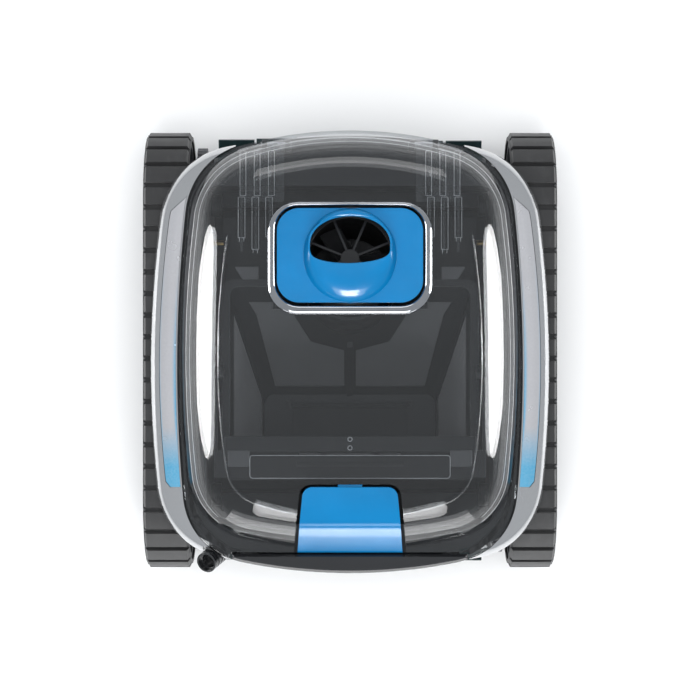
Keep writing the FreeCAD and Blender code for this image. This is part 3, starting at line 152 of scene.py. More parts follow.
class CleanerColours(bpy.types.PropertyGroup):
    """The colours of the machine's finishes."""

    body_black: colour_property("Body black", "Moulded tub, covers and frames", (0.014, 0.0145, 0.016))
    dark_plastic: colour_property("Dark plastic", "Filter basket and pump parts", (0.013, 0.0135, 0.0145))
    handle_black: colour_property("Handle black", "Polished carrying handle", (0.010, 0.0105, 0.012))
    fairing_silver: colour_property("Fairing silver", "Lacquered side fairings", (0.48, 0.485, 0.495))
    accent_pearl: colour_property("Accent pearl", "Middle of the accent strips", (0.50, 0.50, 0.52))
    accent_blue: colour_property("Accent blue", "Edges of the accent strips", (0.10, 0.42, 0.66))
    cowl_blue: colour_property("Cowl blue", "Outlet cowl", (0.0005, 0.146, 0.355))
    latch_blue: colour_property("Latch blue", "Latch button", (0.0005, 0.146, 0.350))
    belt_rubber: colour_property("Belt rubber", "Drive belts", (0.013, 0.0132, 0.014))
    brush_rubber: colour_property("Brush rubber", "Brush blades", (0.009, 0.024, 0.026))
    wheel_grey: colour_property("Wheel grey", "Belt wheels and gears", (0.10, 0.104, 0.112))
    steel: colour_property("Steel", "Axles, pins and screws", (0.56, 0.56, 0.57))
    brass: colour_property("Brass", "Drive pinions", (0.60, 0.42, 0.17))
    motor_can: colour_property("Motor can", "Drawn motor housings", (0.45, 0.46, 0.48))
    board_green: colour_property("Board green", "Control board", (0.012, 0.11, 0.045))
    mesh_grey: colour_property("Mesh grey", "Filter mesh threads", (0.085, 0.086, 0.09))
    lid_smoke: colour_property("Lid smoke", "Tint of the clear lid", (0.80, 0.81, 0.82))
    floor_white: colour_property("Floor white", "Studio floor", (0.90, 0.90, 0.90))


class CleanerSizes(bpy.types.PropertyGroup):
    """The sizes of the detail that the CAD leaves to the looks."""

    grain: length_property("Grain", "Distance between peaks of the moulded grain", 0.0005)
    weave: length_property("Weave", "Thread spacing of the filter mesh", 0.0014)
    camera_height: length_property("Camera height", "Camera above the floor", 2.6)
    lens: FloatProperty(name="Lens", description="Focal length of the camera", unit="CAMERA", default=125.07)


def colours():
    """The colour settings as four numbers each."""
    group = bpy.context.scene.cleaner_colours
    return {key: (*getattr(group, key), 1.0) for key in CleanerColours.__annotations__}


def sizes():
    """The size settings."""
    return bpy.context.scene.cleaner_sizes


# ------------------------------------------------------------------ node helpers
def put(tree, kind, settings=None, **inputs):
    """A new node with its settings and inputs; a socket given as an input is linked."""
    made = tree.nodes.new(kind)
    for key, value in (settings or {}).items():
        setattr(made, key, value)
    for key, value in inputs.items():
        connect(tree, made.inputs[key.replace("_", " ")], value)
    return made


def connect(tree, socket, value):
    """Links a socket to value, or sets value on it."""
    if isinstance(value, bpy.types.NodeSocket):
        tree.links.new(value, socket)
    else:
        socket.default_value = value


def maths(tree, operation, first, second=None):
    """A Math node's result."""
    made = put(tree, "ShaderNodeMath", {"operation": operation})
    connect(tree, made.inputs[0], first)
    if second is not None:
        connect(tree, made.inputs[1], second)
    return made.outputs[0]


def blend_colours(tree, share, first, second):
    """A colour between first and second."""
    made = put(tree, "ShaderNodeMix", {"data_type": "RGBA"})
    connect(tree, made.inputs[0], share)
    connect(tree, made.inputs[6], first)
    connect(tree, made.inputs[7], second)
    return made.outputs[2]


def spread(tree, value, low, high, from_low=0.3, from_high=0.7):
    """value, from one range to another."""
    made = put(tree, "ShaderNodeMapRange", None, Value=value)
    made.inputs["From Min"].default_value = from_low
    made.inputs["From Max"].default_value = from_high
    made.inputs["To Min"].default_value = low
    made.inputs["To Max"].default_value = high
    return made.outputs[0]


def place(tree, stretch=(1.0, 1.0, 1.0), turn=(0.0, 0.0, 0.0)):
    """Object coordinates, stretched and turned."""
    spot = put(tree, "ShaderNodeTexCoord").outputs["Object"]
    return put(tree, "ShaderNodeMapping", None, Vector=spot, Scale=stretch, Rotation=turn).outputs[0]


def noise(tree, spot, per_metre, detail=3.0, rough=0.55):
    """Noise with that many features in a metre."""
    return put(
        tree, "ShaderNodeTexNoise", None, Vector=spot, Scale=per_metre, Detail=detail, Roughness=rough
    ).outputs[0]


def bump(tree, height, depth, strength=1.0, under=None):
    """A bump of that depth in metres."""
    made = put(tree, "ShaderNodeBump", None, Height=height, Distance=depth, Strength=strength)
    if under is not None:
        tree.links.new(under, made.inputs["Normal"])
    return made.outputs[0]


def shade(value, factor):
    """A colour made lighter or darker."""
    return (*(min(1.0, c * factor) for c in value[:3]), 1.0)


def blank(name):
    """An empty node material and its tree, with the output node in place."""
    made = bpy.data.materials.new(name)
    made.use_nodes = True
    made.node_tree.nodes.clear()
    return made, made.node_tree, made.node_tree.nodes.new("ShaderNodeOutputMaterial")


def principled(name, **inputs):
    """A material with one Principled shader, its tree and the shader."""
    made, tree, output = blank(name)
    shader = put(tree, "ShaderNodeBsdfPrincipled", None, **inputs)
    tree.links.new(shader.outputs[0], output.inputs["Surface"])
    return made, tree, shader


def dress(tree, shader, tint, gloss, normal):
    """Links a shader's colour, roughness and normal."""
    for key, value in (("Base Color", tint), ("Roughness", gloss), ("Normal", normal)):
        connect(tree, shader.inputs[key], value)


# ------------------------------------------------------------------ finishes
def moulded_plastic(name, colour, rough=(0.38, 0.52), grain=0.000006, coat=0.0, scuff=0.5, edge=1.6,
                    shine=0.5):
    """Injection-moulded plastic: fine grain, cloudy gloss, fine scuffs and paler rubbed edges."""
    made, tree, shader = principled(
        name, Coat_Weight=coat, Coat_Roughness=0.08, IOR=1.49, Specular_IOR_Level=shine)
    spot = place(tree)
    clouds = noise(tree, spot, 16.0, 5.0, 0.6)
    tint = blend_colours(tree, clouds, shade(colour, 0.82), shade(colour, 1.22))
    lines = noise(tree, place(tree, (6.0, 260.0, 30.0), (0.2, 0.4, 0.6)), 4.0, 4.0, 0.7)
    lines = spread(tree, lines, 0.0, 1.0, 0.60, 0.78)
    tint = blend_colours(tree, maths(tree, "MULTIPLY", lines, 0.25 * scuff), tint, shade(colour, 3.2))
    rounded = put(tree, "ShaderNodeBevel", {"samples": 4}, Radius=0.0009).outputs[0]
    flat = put(tree, "ShaderNodeNewGeometry").outputs["Normal"]
    across = put(tree, "ShaderNodeVectorMath", {"operation": "DOT_PRODUCT"})
    tree.links.new(rounded, across.inputs[0])
    tree.links.new(flat, across.inputs[1])
    worn = spread(tree, across.outputs["Value"], 1.0, 0.0, 0.80, 0.985)
    worn = maths(tree, "MULTIPLY", worn, spread(tree, noise(tree, spot, 90.0, 4.0), 0.2, 1.0))
    tint = blend_colours(tree, maths(tree, "MULTIPLY", worn, 0.5), tint, shade(colour, edge * 2.0))
    gloss = spread(tree, noise(tree, spot, 55.0, 6.0, 0.65), *rough)
    gloss = maths(tree, "ADD", gloss, maths(tree, "MULTIPLY", lines, 0.12 * scuff))
    peaks = noise(tree, spot, 1.0 / sizes().grain, 2.0)
    dress(tree, shader, tint, gloss, bump(tree, peaks, grain, 0.6, rounded))
    return made


def lacquer(name, colour, metallic, rough, flake=0.00001):
    """Glossy lacquer over a metallic base, with fine flake and faint orange peel."""
    made, tree, shader = principled(
        name, Metallic=metallic, Coat_Weight=0.8, Coat_Roughness=0.03, IOR=1.5
    )
    spot = place(tree)
    clouds = noise(tree, spot, 9.0, 4.0)
    tint = blend_colours(tree, clouds, shade(colour, 0.92), shade(colour, 1.08))
    flakes = put(tree, "ShaderNodeTexVoronoi", None, Vector=spot, Scale=2600.0)
    sparkle = spread(tree, flakes.outputs["Distance"], 0.25, 0.0, 0.1, 0.7)
    tint = blend_colours(tree, sparkle, tint, shade(colour, 1.5))
    peel = bump(tree, noise(tree, spot, 260.0, 2.0), 0.000012, 0.5)
    gloss = spread(tree, noise(tree, spot, 60.0, 5.0), *rough)
    dress(tree, shader, tint, gloss, bump(tree, flakes.outputs["Distance"], flake, 0.5, peel))
    return made


def rubber(name, colour, rough=(0.50, 0.68), sheen=0.15):
    """Moulded rubber: a matt bloom, pores and dusty streaks."""
    made, tree, shader = principled(name, Sheen_Weight=sheen, Sheen_Roughness=0.5, IOR=1.5)
    spot = place(tree)
    clouds = noise(tree, spot, 26.0, 6.0, 0.65)
    dust = spread(tree, noise(tree, place(tree, (1.0, 0.35, 1.0)), 70.0, 6.0, 0.7), 0.0, 0.35, 0.52, 0.75)
    tint = blend_colours(tree, clouds, shade(colour, 0.75), shade(colour, 1.3))
    tint = blend_colours(tree, dust, tint, shade(colour, 3.4))
    rounded = put(tree, "ShaderNodeBevel", {"samples": 4}, Radius=0.0008).outputs[0]
    pores = bump(tree, noise(tree, spot, 1500.0, 2.0), 0.00005, 0.7, rounded)
    dress(tree, shader, tint, spread(tree, clouds, *rough), pores)
    return made


def metal(name, colour, rough=(0.18, 0.34), stretch=(1.0, 40.0, 40.0)):
    """Turned or drawn metal with fine tool lines and slight tarnish."""
    made, tree, shader = principled(name, Metallic=1.0)
    spot = place(tree)
    tarnish = noise(tree, spot, 45.0, 5.0, 0.6)
    tint = blend_colours(tree, tarnish, shade(colour, 0.72), shade(colour, 1.12))
    lines = noise(tree, place(tree, stretch), 40.0, 4.0, 0.7)
    dress(tree, shader, tint, spread(tree, lines, *rough), bump(tree, lines, 0.00002, 0.6))
    return made


def woven_mesh(name, colour):
    """Filter cloth: threads over and under, with small open gaps painted dark as shade."""
    made, tree, shader = principled(name, Sheen_Weight=0.3, IOR=1.45)
    spot = put(tree, "ShaderNodeTexCoord").outputs["Object"]
    parts = put(tree, "ShaderNodeSeparateXYZ", None, Vector=spot)
    turns = 2 * math.pi / sizes().weave
    along = maths(tree, "ADD", parts.outputs["Y"], parts.outputs["Z"])
    warp = maths(tree, "SINE", maths(tree, "MULTIPLY", parts.outputs["X"], turns))
    weft = maths(tree, "SINE", maths(tree, "MULTIPLY", along, turns))
    height = maths(tree, "MAXIMUM", maths(tree, "ABSOLUTE", warp), maths(tree, "ABSOLUTE", weft))
    # Painted shade: the gaps between the threads are darkened to a quarter of the thread colour
    gap = spread(tree, height, 1.0, 0.0, 0.35, 0.75)
    clouds = noise(tree, place(tree), 30.0, 5.0)
    tint = blend_colours(tree, clouds, shade(colour, 0.8), shade(colour, 1.35))
    tint = blend_colours(tree, gap, tint, shade(colour, 0.25))
    dress(tree, shader, tint, spread(tree, clouds, 0.55, 0.75), bump(tree, height, 0.00025, 0.8))
    return made


def circuit_board(name, colour):
    """Solder mask over copper tracks."""
    made, tree, shader = principled(name, Coat_Weight=0.3, Coat_Roughness=0.2)
    spot = place(tree, (1.0, 1.0, 0.05))
    tracks = put(tree, "ShaderNodeTexBrick", {"offset": 0.4}, Vector=spot, Scale=160.0)
    tracks.inputs["Color1"].default_value = shade(colour, 0.7)
    tracks.inputs["Color2"].default_value = shade(colour, 1.2)
    tracks.inputs["Mortar"].default_value = shade(colour, 2.4)
    tracks.inputs["Mortar Size"].default_value = 0.03
    gloss = spread(tree, noise(tree, spot, 120.0), 0.28, 0.45)
    dress(tree, shader, tracks.outputs["Color"], gloss, bump(tree, tracks.outputs["Fac"], 0.00008, 0.6))
    return made


def clear_smoke(name, colour, bend=1.5):
    """Polished smoke-tinted clear plastic, with hairline scratches and faint ripple."""
    made, tree, output = blank(name)
    spot = place(tree)
    ripple = noise(tree, spot, 22.0, 2.0)
    hairs = noise(tree, place(tree, (5.0, 300.0, 20.0), (0.3, 0.2, 0.9)), 5.0, 4.0, 0.7)
    hairs = spread(tree, hairs, 0.0, 1.0, 0.64, 0.8)
    waves = bump(tree, ripple, 0.00006, 0.25)
    waves = bump(tree, hairs, 0.000015, 0.3, waves)
    clouds = blend_colours(tree, noise(tree, spot, 8.0), shade(colour, 0.96), shade(colour, 1.03))
    seen = put(tree, "ShaderNodeBsdfTransparent", None, Color=clouds)
    gloss = spread(tree, noise(tree, spot, 30.0, 5.0), 0.012, 0.04)
    gloss = maths(tree, "ADD", gloss, maths(tree, "MULTIPLY", hairs, 0.1))
    shine = put(tree, "ShaderNodeBsdfGlossy", None, Roughness=gloss, Normal=waves)
    shine.inputs["Color"].default_value = (1.0, 1.0, 1.0, 1.0)
    back = put(tree, "ShaderNodeNewGeometry").outputs["Backfacing"]
    index = spread(tree, back, bend, 1 / bend, 0.0, 1.0)
    edge = put(tree, "ShaderNodeFresnel", None, IOR=index, Normal=waves)
    both = put(tree, "ShaderNodeMixShader", None, Fac=edge.outputs[0])
    tree.links.new(seen.outputs[0], both.inputs[1])
    tree.links.new(shine.outputs[0], both.inputs[2])
    tree.links.new(both.outputs[0], output.inputs["Surface"])
    return made


def strip_finish(name, pearl, blue, node):
    """Pearl with thin sky-blue edges that fade towards the rear; the blue fills the front end."""
    made, tree, shader = principled(name, Coat_Weight=0.5, Coat_Roughness=0.05, Metallic=0.6)
    low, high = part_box(node)
    corners = [v.co for v in NODES[node].data.vertices if v.co.z > high.z - 0.0005]
    middle = middle_line([(abs(c.x), c.y) for c in corners])
    spot = put(tree, "ShaderNodeTexCoord").outputs["Object"]
    parts = put(tree, "ShaderNodeSeparateXYZ", None, Vector=spot)
    square = maths(tree, "MULTIPLY", parts.outputs["Y"], parts.outputs["Y"])
    line = maths(tree, "MULTIPLY", square, middle[2])
    line = maths(tree, "ADD", line, maths(tree, "MULTIPLY", parts.outputs["Y"], middle[1]))
    line = maths(tree, "ADD", line, middle[0])
    off = maths(tree, "SUBTRACT", maths(tree, "ABSOLUTE", parts.outputs["X"]), line)
    rim = spread(tree, maths(tree, "ABSOLUTE", off), 0.0, 1.0, middle[3] * 0.62, middle[3] * 0.92)
    rim = maths(tree, "MULTIPLY", rim, spread(tree, parts.outputs["Y"], 1.0, 0.0, -0.06, high.y - 0.06))
    end = spread(tree, parts.outputs["Y"], 1.0, 0.0, low.y + 0.02, low.y + 0.06)
    fine = noise(tree, spot, 500.0, 2.0)
    tint = blend_colours(tree, maths(tree, "MAXIMUM", rim, end), pearl, blue)
    tint = blend_colours(tree, spread(tree, fine, 0.0, 0.12), tint, shade(pearl, 1.5))
    gloss = spread(tree, noise(tree, spot, 60.0), 0.16, 0.28)
    dress(tree, shader, tint, gloss, bump(tree, fine, 0.00001, 0.5))
    return made


def middle_line(points):
    """The quadratic x = a + b y + c y^2 through the middle of the points, and half their spread about it."""
    sums = [sum(y ** power for _, y in points) for power in range(5)]
    mixed = [sum(x * y ** power for x, y in points) for power in range(3)]
    system = Matrix([[sums[row + column] for column in range(3)] for row in range(3)])
    a, b, c = system.inverted() @ Vector(mixed)
    half = max(abs(x - a - b * y - c * y * y) for x, y in points)
    return a, b, c, min(half, 0.009)


MADE = {}
STRIPS = (("Left strip", -1), ("Right strip", 1))
BLUE_CARDS = (
    ("Latch card", (0.0, -0.60, 0.10), 90, (0.5, 0.26), 8.5),
    ("Hood card", (0.0, -0.85, 0.90), 55, (0.34, 0.40), 38.0),
)


def finishes():
    """Every finish by name, made once."""
    if not MADE:
        tone = colours()
        black, dark, polish = tone["body_black"], tone["dark_plastic"], tone["handle_black"]
        MADE.update({
            "body_black": moulded_plastic("moulded_black", black),
            "dark_plastic": moulded_plastic("moulded_dark", dark, (0.30, 0.46)),
            "handle_black": moulded_plastic("polished_black", polish, (0.10, 0.18), 0.000006, 0.5, 0.25),
            "wheel_plastic": moulded_plastic("moulded_grey", tone["wheel_grey"], (0.34, 0.5)),
            "fairing_silver": lacquer("silver_lacquer", tone["fairing_silver"], 0.9, (0.10, 0.17)),
            "cowl_blue": moulded_plastic("gloss_blue", tone["cowl_blue"], (0.16, 0.26), 0.000004, 0.28,
                                         0.15, 0.55, 0.15),
            "latch_blue": moulded_plastic("satin_blue", tone["latch_blue"], (0.18, 0.26), 0.000004, 0.25,
                                          0.15, 0.55, 0.15),
            "belt_rubber": rubber("belt_black_rubber", tone["belt_rubber"]),
            "brush_rubber": rubber("blade_rubber", tone["brush_rubber"], (0.35, 0.5), 0.1),
            "steel": metal("stainless", tone["steel"]),
            "pinion_metal": metal("turned_brass", tone["brass"], (0.2, 0.32)),
            "motor_can": metal("drawn_can", tone["motor_can"], (0.3, 0.45), (30.0, 30.0, 1.0)),
            "board_green": circuit_board("solder_mask", tone["board_green"]),
            "mesh_fabric": woven_mesh("filter_cloth", tone["mesh_grey"]),
            "dark_chrome": metal("dark_chrome", (0.42, 0.43, 0.45, 1.0), (0.05, 0.10), (3.0, 3.0, 3.0)),
            "smoked_clear": clear_smoke("smoked_clear_plastic", tone["lid_smoke"]),
            "clear_rib": clear_smoke("clear_rib_plastic", shade(tone["lid_smoke"], 1.12), 1.7),
            # Pale opaque grey: painted highlights on the rib, lid-wall and bail-plate edge pieces, and the
            # rail's round marks
            "highlight_and_mark_grey": moulded_plastic("highlight_and_mark_grey_plastic", (0.36, 0.37, 0.38, 1.0), (0.12, 0.2),
                                          0.000004, 0.8, 0.1, 1.2),
            "grey_pad": moulded_plastic("moulded_mid_grey", (0.06, 0.061, 0.064, 1.0), (0.30, 0.42)),
        })
    return MADE


# ------------------------------------------------------------------ plan outlines
def circle_through(first, second, third):
    """Centre and radius of the circle through three points in plan."""
    a, b, c = (Vector(point) for point in (first, second, third))
    twice = 2 * ((b - a).x * (c - a).y - (b - a).y * (c - a).x)
    ab, ac = (b - a).length_squared, (c - a).length_squared
    centre = a + Vector(((c - a).y * ab - (b - a).y * ac, (b - a).x * ac - (c - a).x * ab)) / twice
    return centre, (a - centre).length


def rounding_centre(one, other, radius, near):
    """Centre of the corner circle that touches two larger circles from inside, on near's side."""
    (p, r), (q, s) = (one[0], one[1] - radius), (other[0], other[1] - radius)
    gap = (q - p).length
    along = (r * r - s * s + gap * gap) / (2 * gap)
    up = math.sqrt(max(r * r - along * along, 0.0))
    middle = p + (q - p) * along / gap
    off = Vector((-(q - p).y, (q - p).x)) * up / gap
    return min((middle + off, middle - off), key=lambda spot: (spot - near).length)


def arc(centre, start, end, count):
    """Points from start to just short of end, round centre the short way."""
    low = math.atan2(start.y - centre.y, start.x - centre.x)
    turn = math.atan2(end.y - centre.y, end.x - centre.x) - low
    turn = (turn + math.pi) % (2 * math.pi) - math.pi
    radius = (start - centre).length
    return [
        centre + radius * Vector((math.cos(low + turn * k / count), math.sin(low + turn * k / count)))
        for k in range(count)
    ]


def bowed_outline(half, widest, rear, front, rear_corner, front_corner, rear_r, front_r):
    """A closed outline with bowed sides and rounded corners, from the middle of the front round the right."""
    side = circle_through(front_corner, (half, widest), rear_corner)
    back = circle_through(rear_corner, (0.0, rear), (-rear_corner[0], rear_corner[1]))
    nose = circle_through(front_corner, (0.0, front), (-front_corner[0], front_corner[1]))
    low = rounding_centre(side, nose, front_r, Vector(front_corner))
    high = rounding_centre(side, back, rear_r, Vector(rear_corner))
    stops = [
        Vector((0.0, front)),
        low + (low - nose[0]).normalized() * front_r,
        low + (low - side[0]).normalized() * front_r,
        high + (high - side[0]).normalized() * rear_r,
        high + (high - back[0]).normalized() * rear_r,
        Vector((0.0, rear)),
    ]
    centres = (nose[0], low, side[0], high, back[0])
    right = []
    for k, centre in enumerate(centres):
        right += arc(centre, stops[k], stops[k + 1], OUTLINE_STEPS[k])
    left = [Vector((-p.x, p.y)) for p in reversed(right[1:])]
    return right + [stops[-1]] + left


def dome_rise(share):
    """How far the dome stands above the rim at a share of its run-in, eased between the steps."""
    for k in range(1, len(DOME_STEPS)):
        if share <= DOME_STEPS[k][0] + 1e-9:
            break
    x0, y0 = DOME_STEPS[k - 1]
    x1, y1 = DOME_STEPS[k]
    before = DOME_STEPS[max(k - 2, 0)]
    after = DOME_STEPS[min(k + 1, len(DOME_STEPS) - 1)]
    slope0 = (y1 - before[1]) / (x1 - before[0])
    slope1 = (after[1] - y0) / (after[0] - x0)
    t = (share - x0) / (x1 - x0)
    run = x1 - x0
    return (
        (2 * t ** 3 - 3 * t ** 2 + 1) * y0 + (t ** 3 - 2 * t ** 2 + t) * run * slope0
        + (3 * t ** 2 - 2 * t ** 3) * y1 + (t ** 3 - t ** 2) * run * slope1
    )


def rim_outline(side_in, rear_in, front_in):
    """The lid's rim outline moved inwards, in metres."""
    shrink = 0.75 * max(side_in, 0.0)
    return bowed_outline(
        RIM_HALF - side_in, RIM_WIDEST, RIM_REAR - rear_in, RIM_FRONT + front_in,
        (RIM_REAR_CORNER[0] - side_in, RIM_REAR_CORNER[1] - rear_in),
        (RIM_FRONT_CORNER[0] - side_in, RIM_FRONT_CORNER[1] + front_in),
        max(RIM_REAR_R - shrink, LEAST_CORNER_R), max(RIM_FRONT_R - shrink, LEAST_CORNER_R),
    )


def body_outline(inset):
    """The fairings' outer outline moved inwards, in metres."""
    return bowed_outline(
        BODY_HALF - inset, 0.0, BODY_REAR - inset, BODY_FRONT + inset,
        (BODY_REAR_CORNER[0] - inset, BODY_REAR_CORNER[1] - inset),
        (BODY_FRONT_CORNER[0] - inset, BODY_FRONT_CORNER[1] + inset),
        BODY_REAR_R - inset, BODY_FRONT_R - inset,
    )


def band(shape, low, high):
    """One ring of faces between two loops of vertices."""
    count = len(low)
    for k in range(count):
        n = (k + 1) % count
        shape.faces.new((low[k], low[n], high[n], high[k]))


def skin_loops(shape, loops):
    """Joins loops of points, each given with its height, by rings of faces."""
    rings = [[shape.verts.new(point) for point in points] for points in loops]
    for low, high in zip(rings, rings[1:]):
        band(shape, low, high)
    return rings


# ------------------------------------------------------------------ piece helpers
def wear(thing, finish):
    """Gives an object one material."""
    thing.data.materials.clear()
    thing.data.materials.append(finishes()[finish] if isinstance(finish, str) else finish)


def keep(slot_finish, *nodes):
    """CAD nodes that stay as they are and get a finish."""
    for node in nodes:
        wear(NODES[node], slot_finish)


def as_object(shape, name):
    """Writes a bmesh to a new object in the scene, and frees it."""
    mesh = bpy.data.meshes.new(name)
    shape.to_mesh(mesh)
    shape.free()
    made = bpy.data.objects.new(name, mesh)
    bpy.context.scene.collection.objects.link(made)
    return made


def finish_piece(shape, name, body, finish, stands_for=(), crease=CREASE):
    """Writes a bmesh to an object that rides on a body and wears a finish."""
    for face in shape.faces:
        face.smooth = True
    for edge in shape.edges:
        edge.smooth = len(edge.link_faces) == 2 and edge.calc_face_angle(0.0) < crease
    piece = as_object(shape, name)
    wear(piece, finish)
    even = piece.modifiers.new("Even shading", "WEIGHTED_NORMAL")
    even.keep_sharp = True
    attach(piece, body)
    if stands_for:
        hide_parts(*stands_for)
    return piece


def carved(shape, steps):
    """A closed shape cut by other closed shapes, or kept only inside them."""
    work = as_object(shape, "blank")
    for way, cutter in steps:
        tool = as_object(cutter, "cutter")
        step = work.modifiers.new("Cut", "BOOLEAN")
        step.operation, step.object, step.solver = way, tool, "EXACT"
        bpy.context.view_layer.update()
        result = bpy.data.meshes.new_from_object(work.evaluated_get(bpy.context.evaluated_depsgraph_get()))
        work.modifiers.remove(step)
        spent = (work.data, tool.data)
        work.data = result
        bpy.data.objects.remove(tool)
        for mesh in spent:
            bpy.data.meshes.remove(mesh)
    made = bmesh.new()
    made.from_mesh(work.data)
    mesh = work.data
    bpy.data.objects.remove(work)
    bpy.data.meshes.remove(mesh)
    bmesh.ops.remove_doubles(made, verts=made.verts, dist=WELD)
    bmesh.ops.dissolve_degenerate(made, edges=made.edges, dist=WELD)
    return made


def largest(shape):
    """Keeps only the island with the most surface."""
    left, best, most = set(shape.verts), [], 0.0
    while left:
        island, edge = set(), [left.pop()]
        while edge:
            spot = edge.pop()
            island.add(spot)
            for link in spot.link_edges:
                other = link.other_vert(spot)
                if other in left:
                    left.discard(other)
                    edge.append(other)
        area = sum(f.calc_area() for f in {f for v in island for f in v.link_faces})
        if area > most:
            best, most = island, area
    bmesh.ops.delete(shape, geom=[v for v in shape.verts if v not in best], context="VERTS")
    return shape


def upright(outline, low, high):
    """A closed upright prism over a plan outline."""
    shape = bmesh.new()
    rings = skin_loops(shape, [[(x, y, z) for x, y in outline] for z in (low, high)])
    shape.faces.new(list(reversed(rings[0])))
    shape.faces.new(rings[1])
    bmesh.ops.recalc_face_normals(shape, faces=shape.faces)
    return shape


def both_sides(shape):
    """Adds a shape's mirror image across the machine."""
    bmesh.ops.mirror(shape, geom=shape.verts[:] + shape.edges[:] + shape.faces[:], axis="X", merge_dist=0.0)


def rounded_corners(corners, radii, steps=8):
    """A plan outline with each corner rounded by its own radius."""
    made = []
    for k, corner in enumerate(corners):
        here = Vector(corner)
        back = (Vector(corners[k - 1]) - here).normalized()
        on = (Vector(corners[(k + 1) % len(corners)]) - here).normalized()
        radius = radii[k]
        if radius <= 0:
            made.append(here)
            continue
        half = back.angle(on) / 2
        reach = radius / math.tan(half)
        centre = here + (back + on).normalized() * radius / math.sin(half)
        made += arc(centre, here + back * reach, here + on * reach, steps) + [here + on * reach]
    return made


def rectangle(x0, x1, y0, y1, radius, steps=8):
    """A rounded rectangle in plan."""
    return rounded_corners([(x0, y0), (x1, y0), (x1, y1), (x0, y1)], [radius] * 4, steps)


def new_piece(shape, name, body, finish, cutters=(), stands_for=(), crease=CREASE):
    """finish_piece with cuts, normals checked first."""
    bmesh.ops.recalc_face_normals(shape, faces=shape.faces)
    if cutters:
        shape = carved(shape, [("DIFFERENCE", cutter) for cutter in cutters])
    return finish_piece(shape, name, body, finish, stands_for, crease)


def welded(node):
    """A bmesh copy of a CAD node with its loose corners joined."""
    shape = bmesh.new()
    shape.from_mesh(NODES[node].data)
    bmesh.ops.remove_doubles(shape, verts=shape.verts, dist=WELD)
    return shape


def smooth_copy(name, node, finish, crease=CREASE):
    """A CAD node's own shape as one smooth-shaded piece."""
    return finish_piece(welded(node), name, NODES[node]["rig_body"], finish, (node,), crease)


# ------------------------------------------------------------------ operators
class CLEANER_OT_stage(bpy.types.Operator):
    """The floor, the lights and the camera."""

    bl_idname = "cleaner.stage"
    bl_label = "Studio"

    def execute(self, context):
        scene = context.scene
        scene.view_settings.view_transform = "Standard"
        scene.view_settings.look = "None"
        floor = self.floor(colours()["floor_white"])
        self.sky(scene)
        top = self.softbox("Top softbox", (0.0, 0.1, 2.2), (0, 0, 0), (1.6, 1.4), 4.6)
        top.visible_glossy = False
        for name, side in STRIPS:
            turn = (0, side * math.radians(75), 0)
            strip = self.softbox(name, (side * 1.25, 0.03, 0.42), turn, (1.05, 0.60), 12.0)
            strip.data.shape = "ELLIPSE"
            strip.visible_diffuse = False
        self.softbox("Front softbox", (0.0, -1.35, 1.15), (math.radians(52), 0, 0), (1.0, 0.7), 7.0)
        self.softbox("Rear softbox", (0.0, 1.6, 0.9), (math.radians(-62), 0, 0), (1.3, 0.5), 2.5)
        low = self.softbox("Low front card", (0.0, -0.66, 0.15), (math.radians(90), 0, 0), (0.95, 0.27), 2.6)
        low.visible_diffuse = False
        for name, at, turn, size, power in BLUE_CARDS:
            card = self.softbox(name, at, (math.radians(turn), 0, 0), size, power)
            card.visible_diffuse = False
        self.camera(scene)
        return {"FINISHED"}

    def floor(self, colour):
        """A plain pale floor just under the belts."""
        shape = bmesh.new()
        bmesh.ops.create_grid(shape, x_segments=1, y_segments=1, size=6.0)
        bmesh.ops.translate(shape, verts=shape.verts, vec=(0, 0, CAD_BOX[0].z - 0.0004))
        made = as_object(shape, "floor")
        paint, tree, shader = principled("floor", Roughness=0.7)
        clouds = noise(tree, place(tree), 3.0)
        tint = blend_colours(tree, clouds, shade(colour, 0.99), shade(colour, 1.01))
        connect(tree, shader.inputs["Base Color"], tint)
        made.data.materials.append(paint)
        return made

    def sky(self, scene):
        """An even pale surround."""
        world = bpy.data.worlds.new("Studio")
        world.use_nodes = True
        scene.world = world
        world.node_tree.nodes["Background"].inputs["Color"].default_value = (0.92, 0.96, 1.0, 1.0)
        world.node_tree.nodes["Background"].inputs["Strength"].default_value = 0.62

    def softbox(self, name, at, turn, size, power_per_area):
        """A rectangular soft light facing down its own -Z axis."""
        light = bpy.data.lights.new(name, "AREA")
        light.shape = "RECTANGLE"
        light.size, light.size_y = size
        light.energy = power_per_area * size[0] * size[1] * math.pi
        made = bpy.data.objects.new(name, light)
        made.location = at
        made.rotation_euler = turn
        bpy.context.scene.collection.objects.link(made)
        return made

    def camera(self, scene):
        """The camera, straight above the machine."""
        data = bpy.data.cameras.new("Camera")
        data.lens = sizes().lens
        data.sensor_width = 36.0
        made = bpy.data.objects.new("Camera", data)
        made.location = (0.0, 0.0, sizes().camera_height)
        scene.collection.objects.link(made)
        scene.camera = made


class CLEANER_OT_chassis(bpy.types.Operator):
    """The tub, covers, frames and everything fixed inside them."""

    bl_idname = "cleaner.chassis"
    bl_label = "Chassis"

    def execute(self, context):
        keep("body_black", "chassis_tub", "bottom_plate", "upper_frame", "left_side_cover",
             "right_side_cover", "rear_bridge", "motor_case")
        keep("dark_plastic", "motor_cover", "outlet_guard")
        keep("belt_rubber", "motor_seal", "lid_seal", "inlet_flap")
        keep("steel", "wheel_axles", "roller_pins", "cover_screws", "hinge_pins", "latch_pin", "latch_spring",
             "propeller_shaft", "propeller_nut", "socket_contacts")
        keep("motor_can", "pump_motor", "drive_motors")
        keep("board_green", "control_board")
        smooth_copy("pump_duct_skin", "pump_duct", "dark_plastic")
        smooth_copy("propeller_blades", "propeller", "dark_plastic")
        smooth_copy("socket_body", "cable_socket", "handle_black")
        return {"FINISHED"}


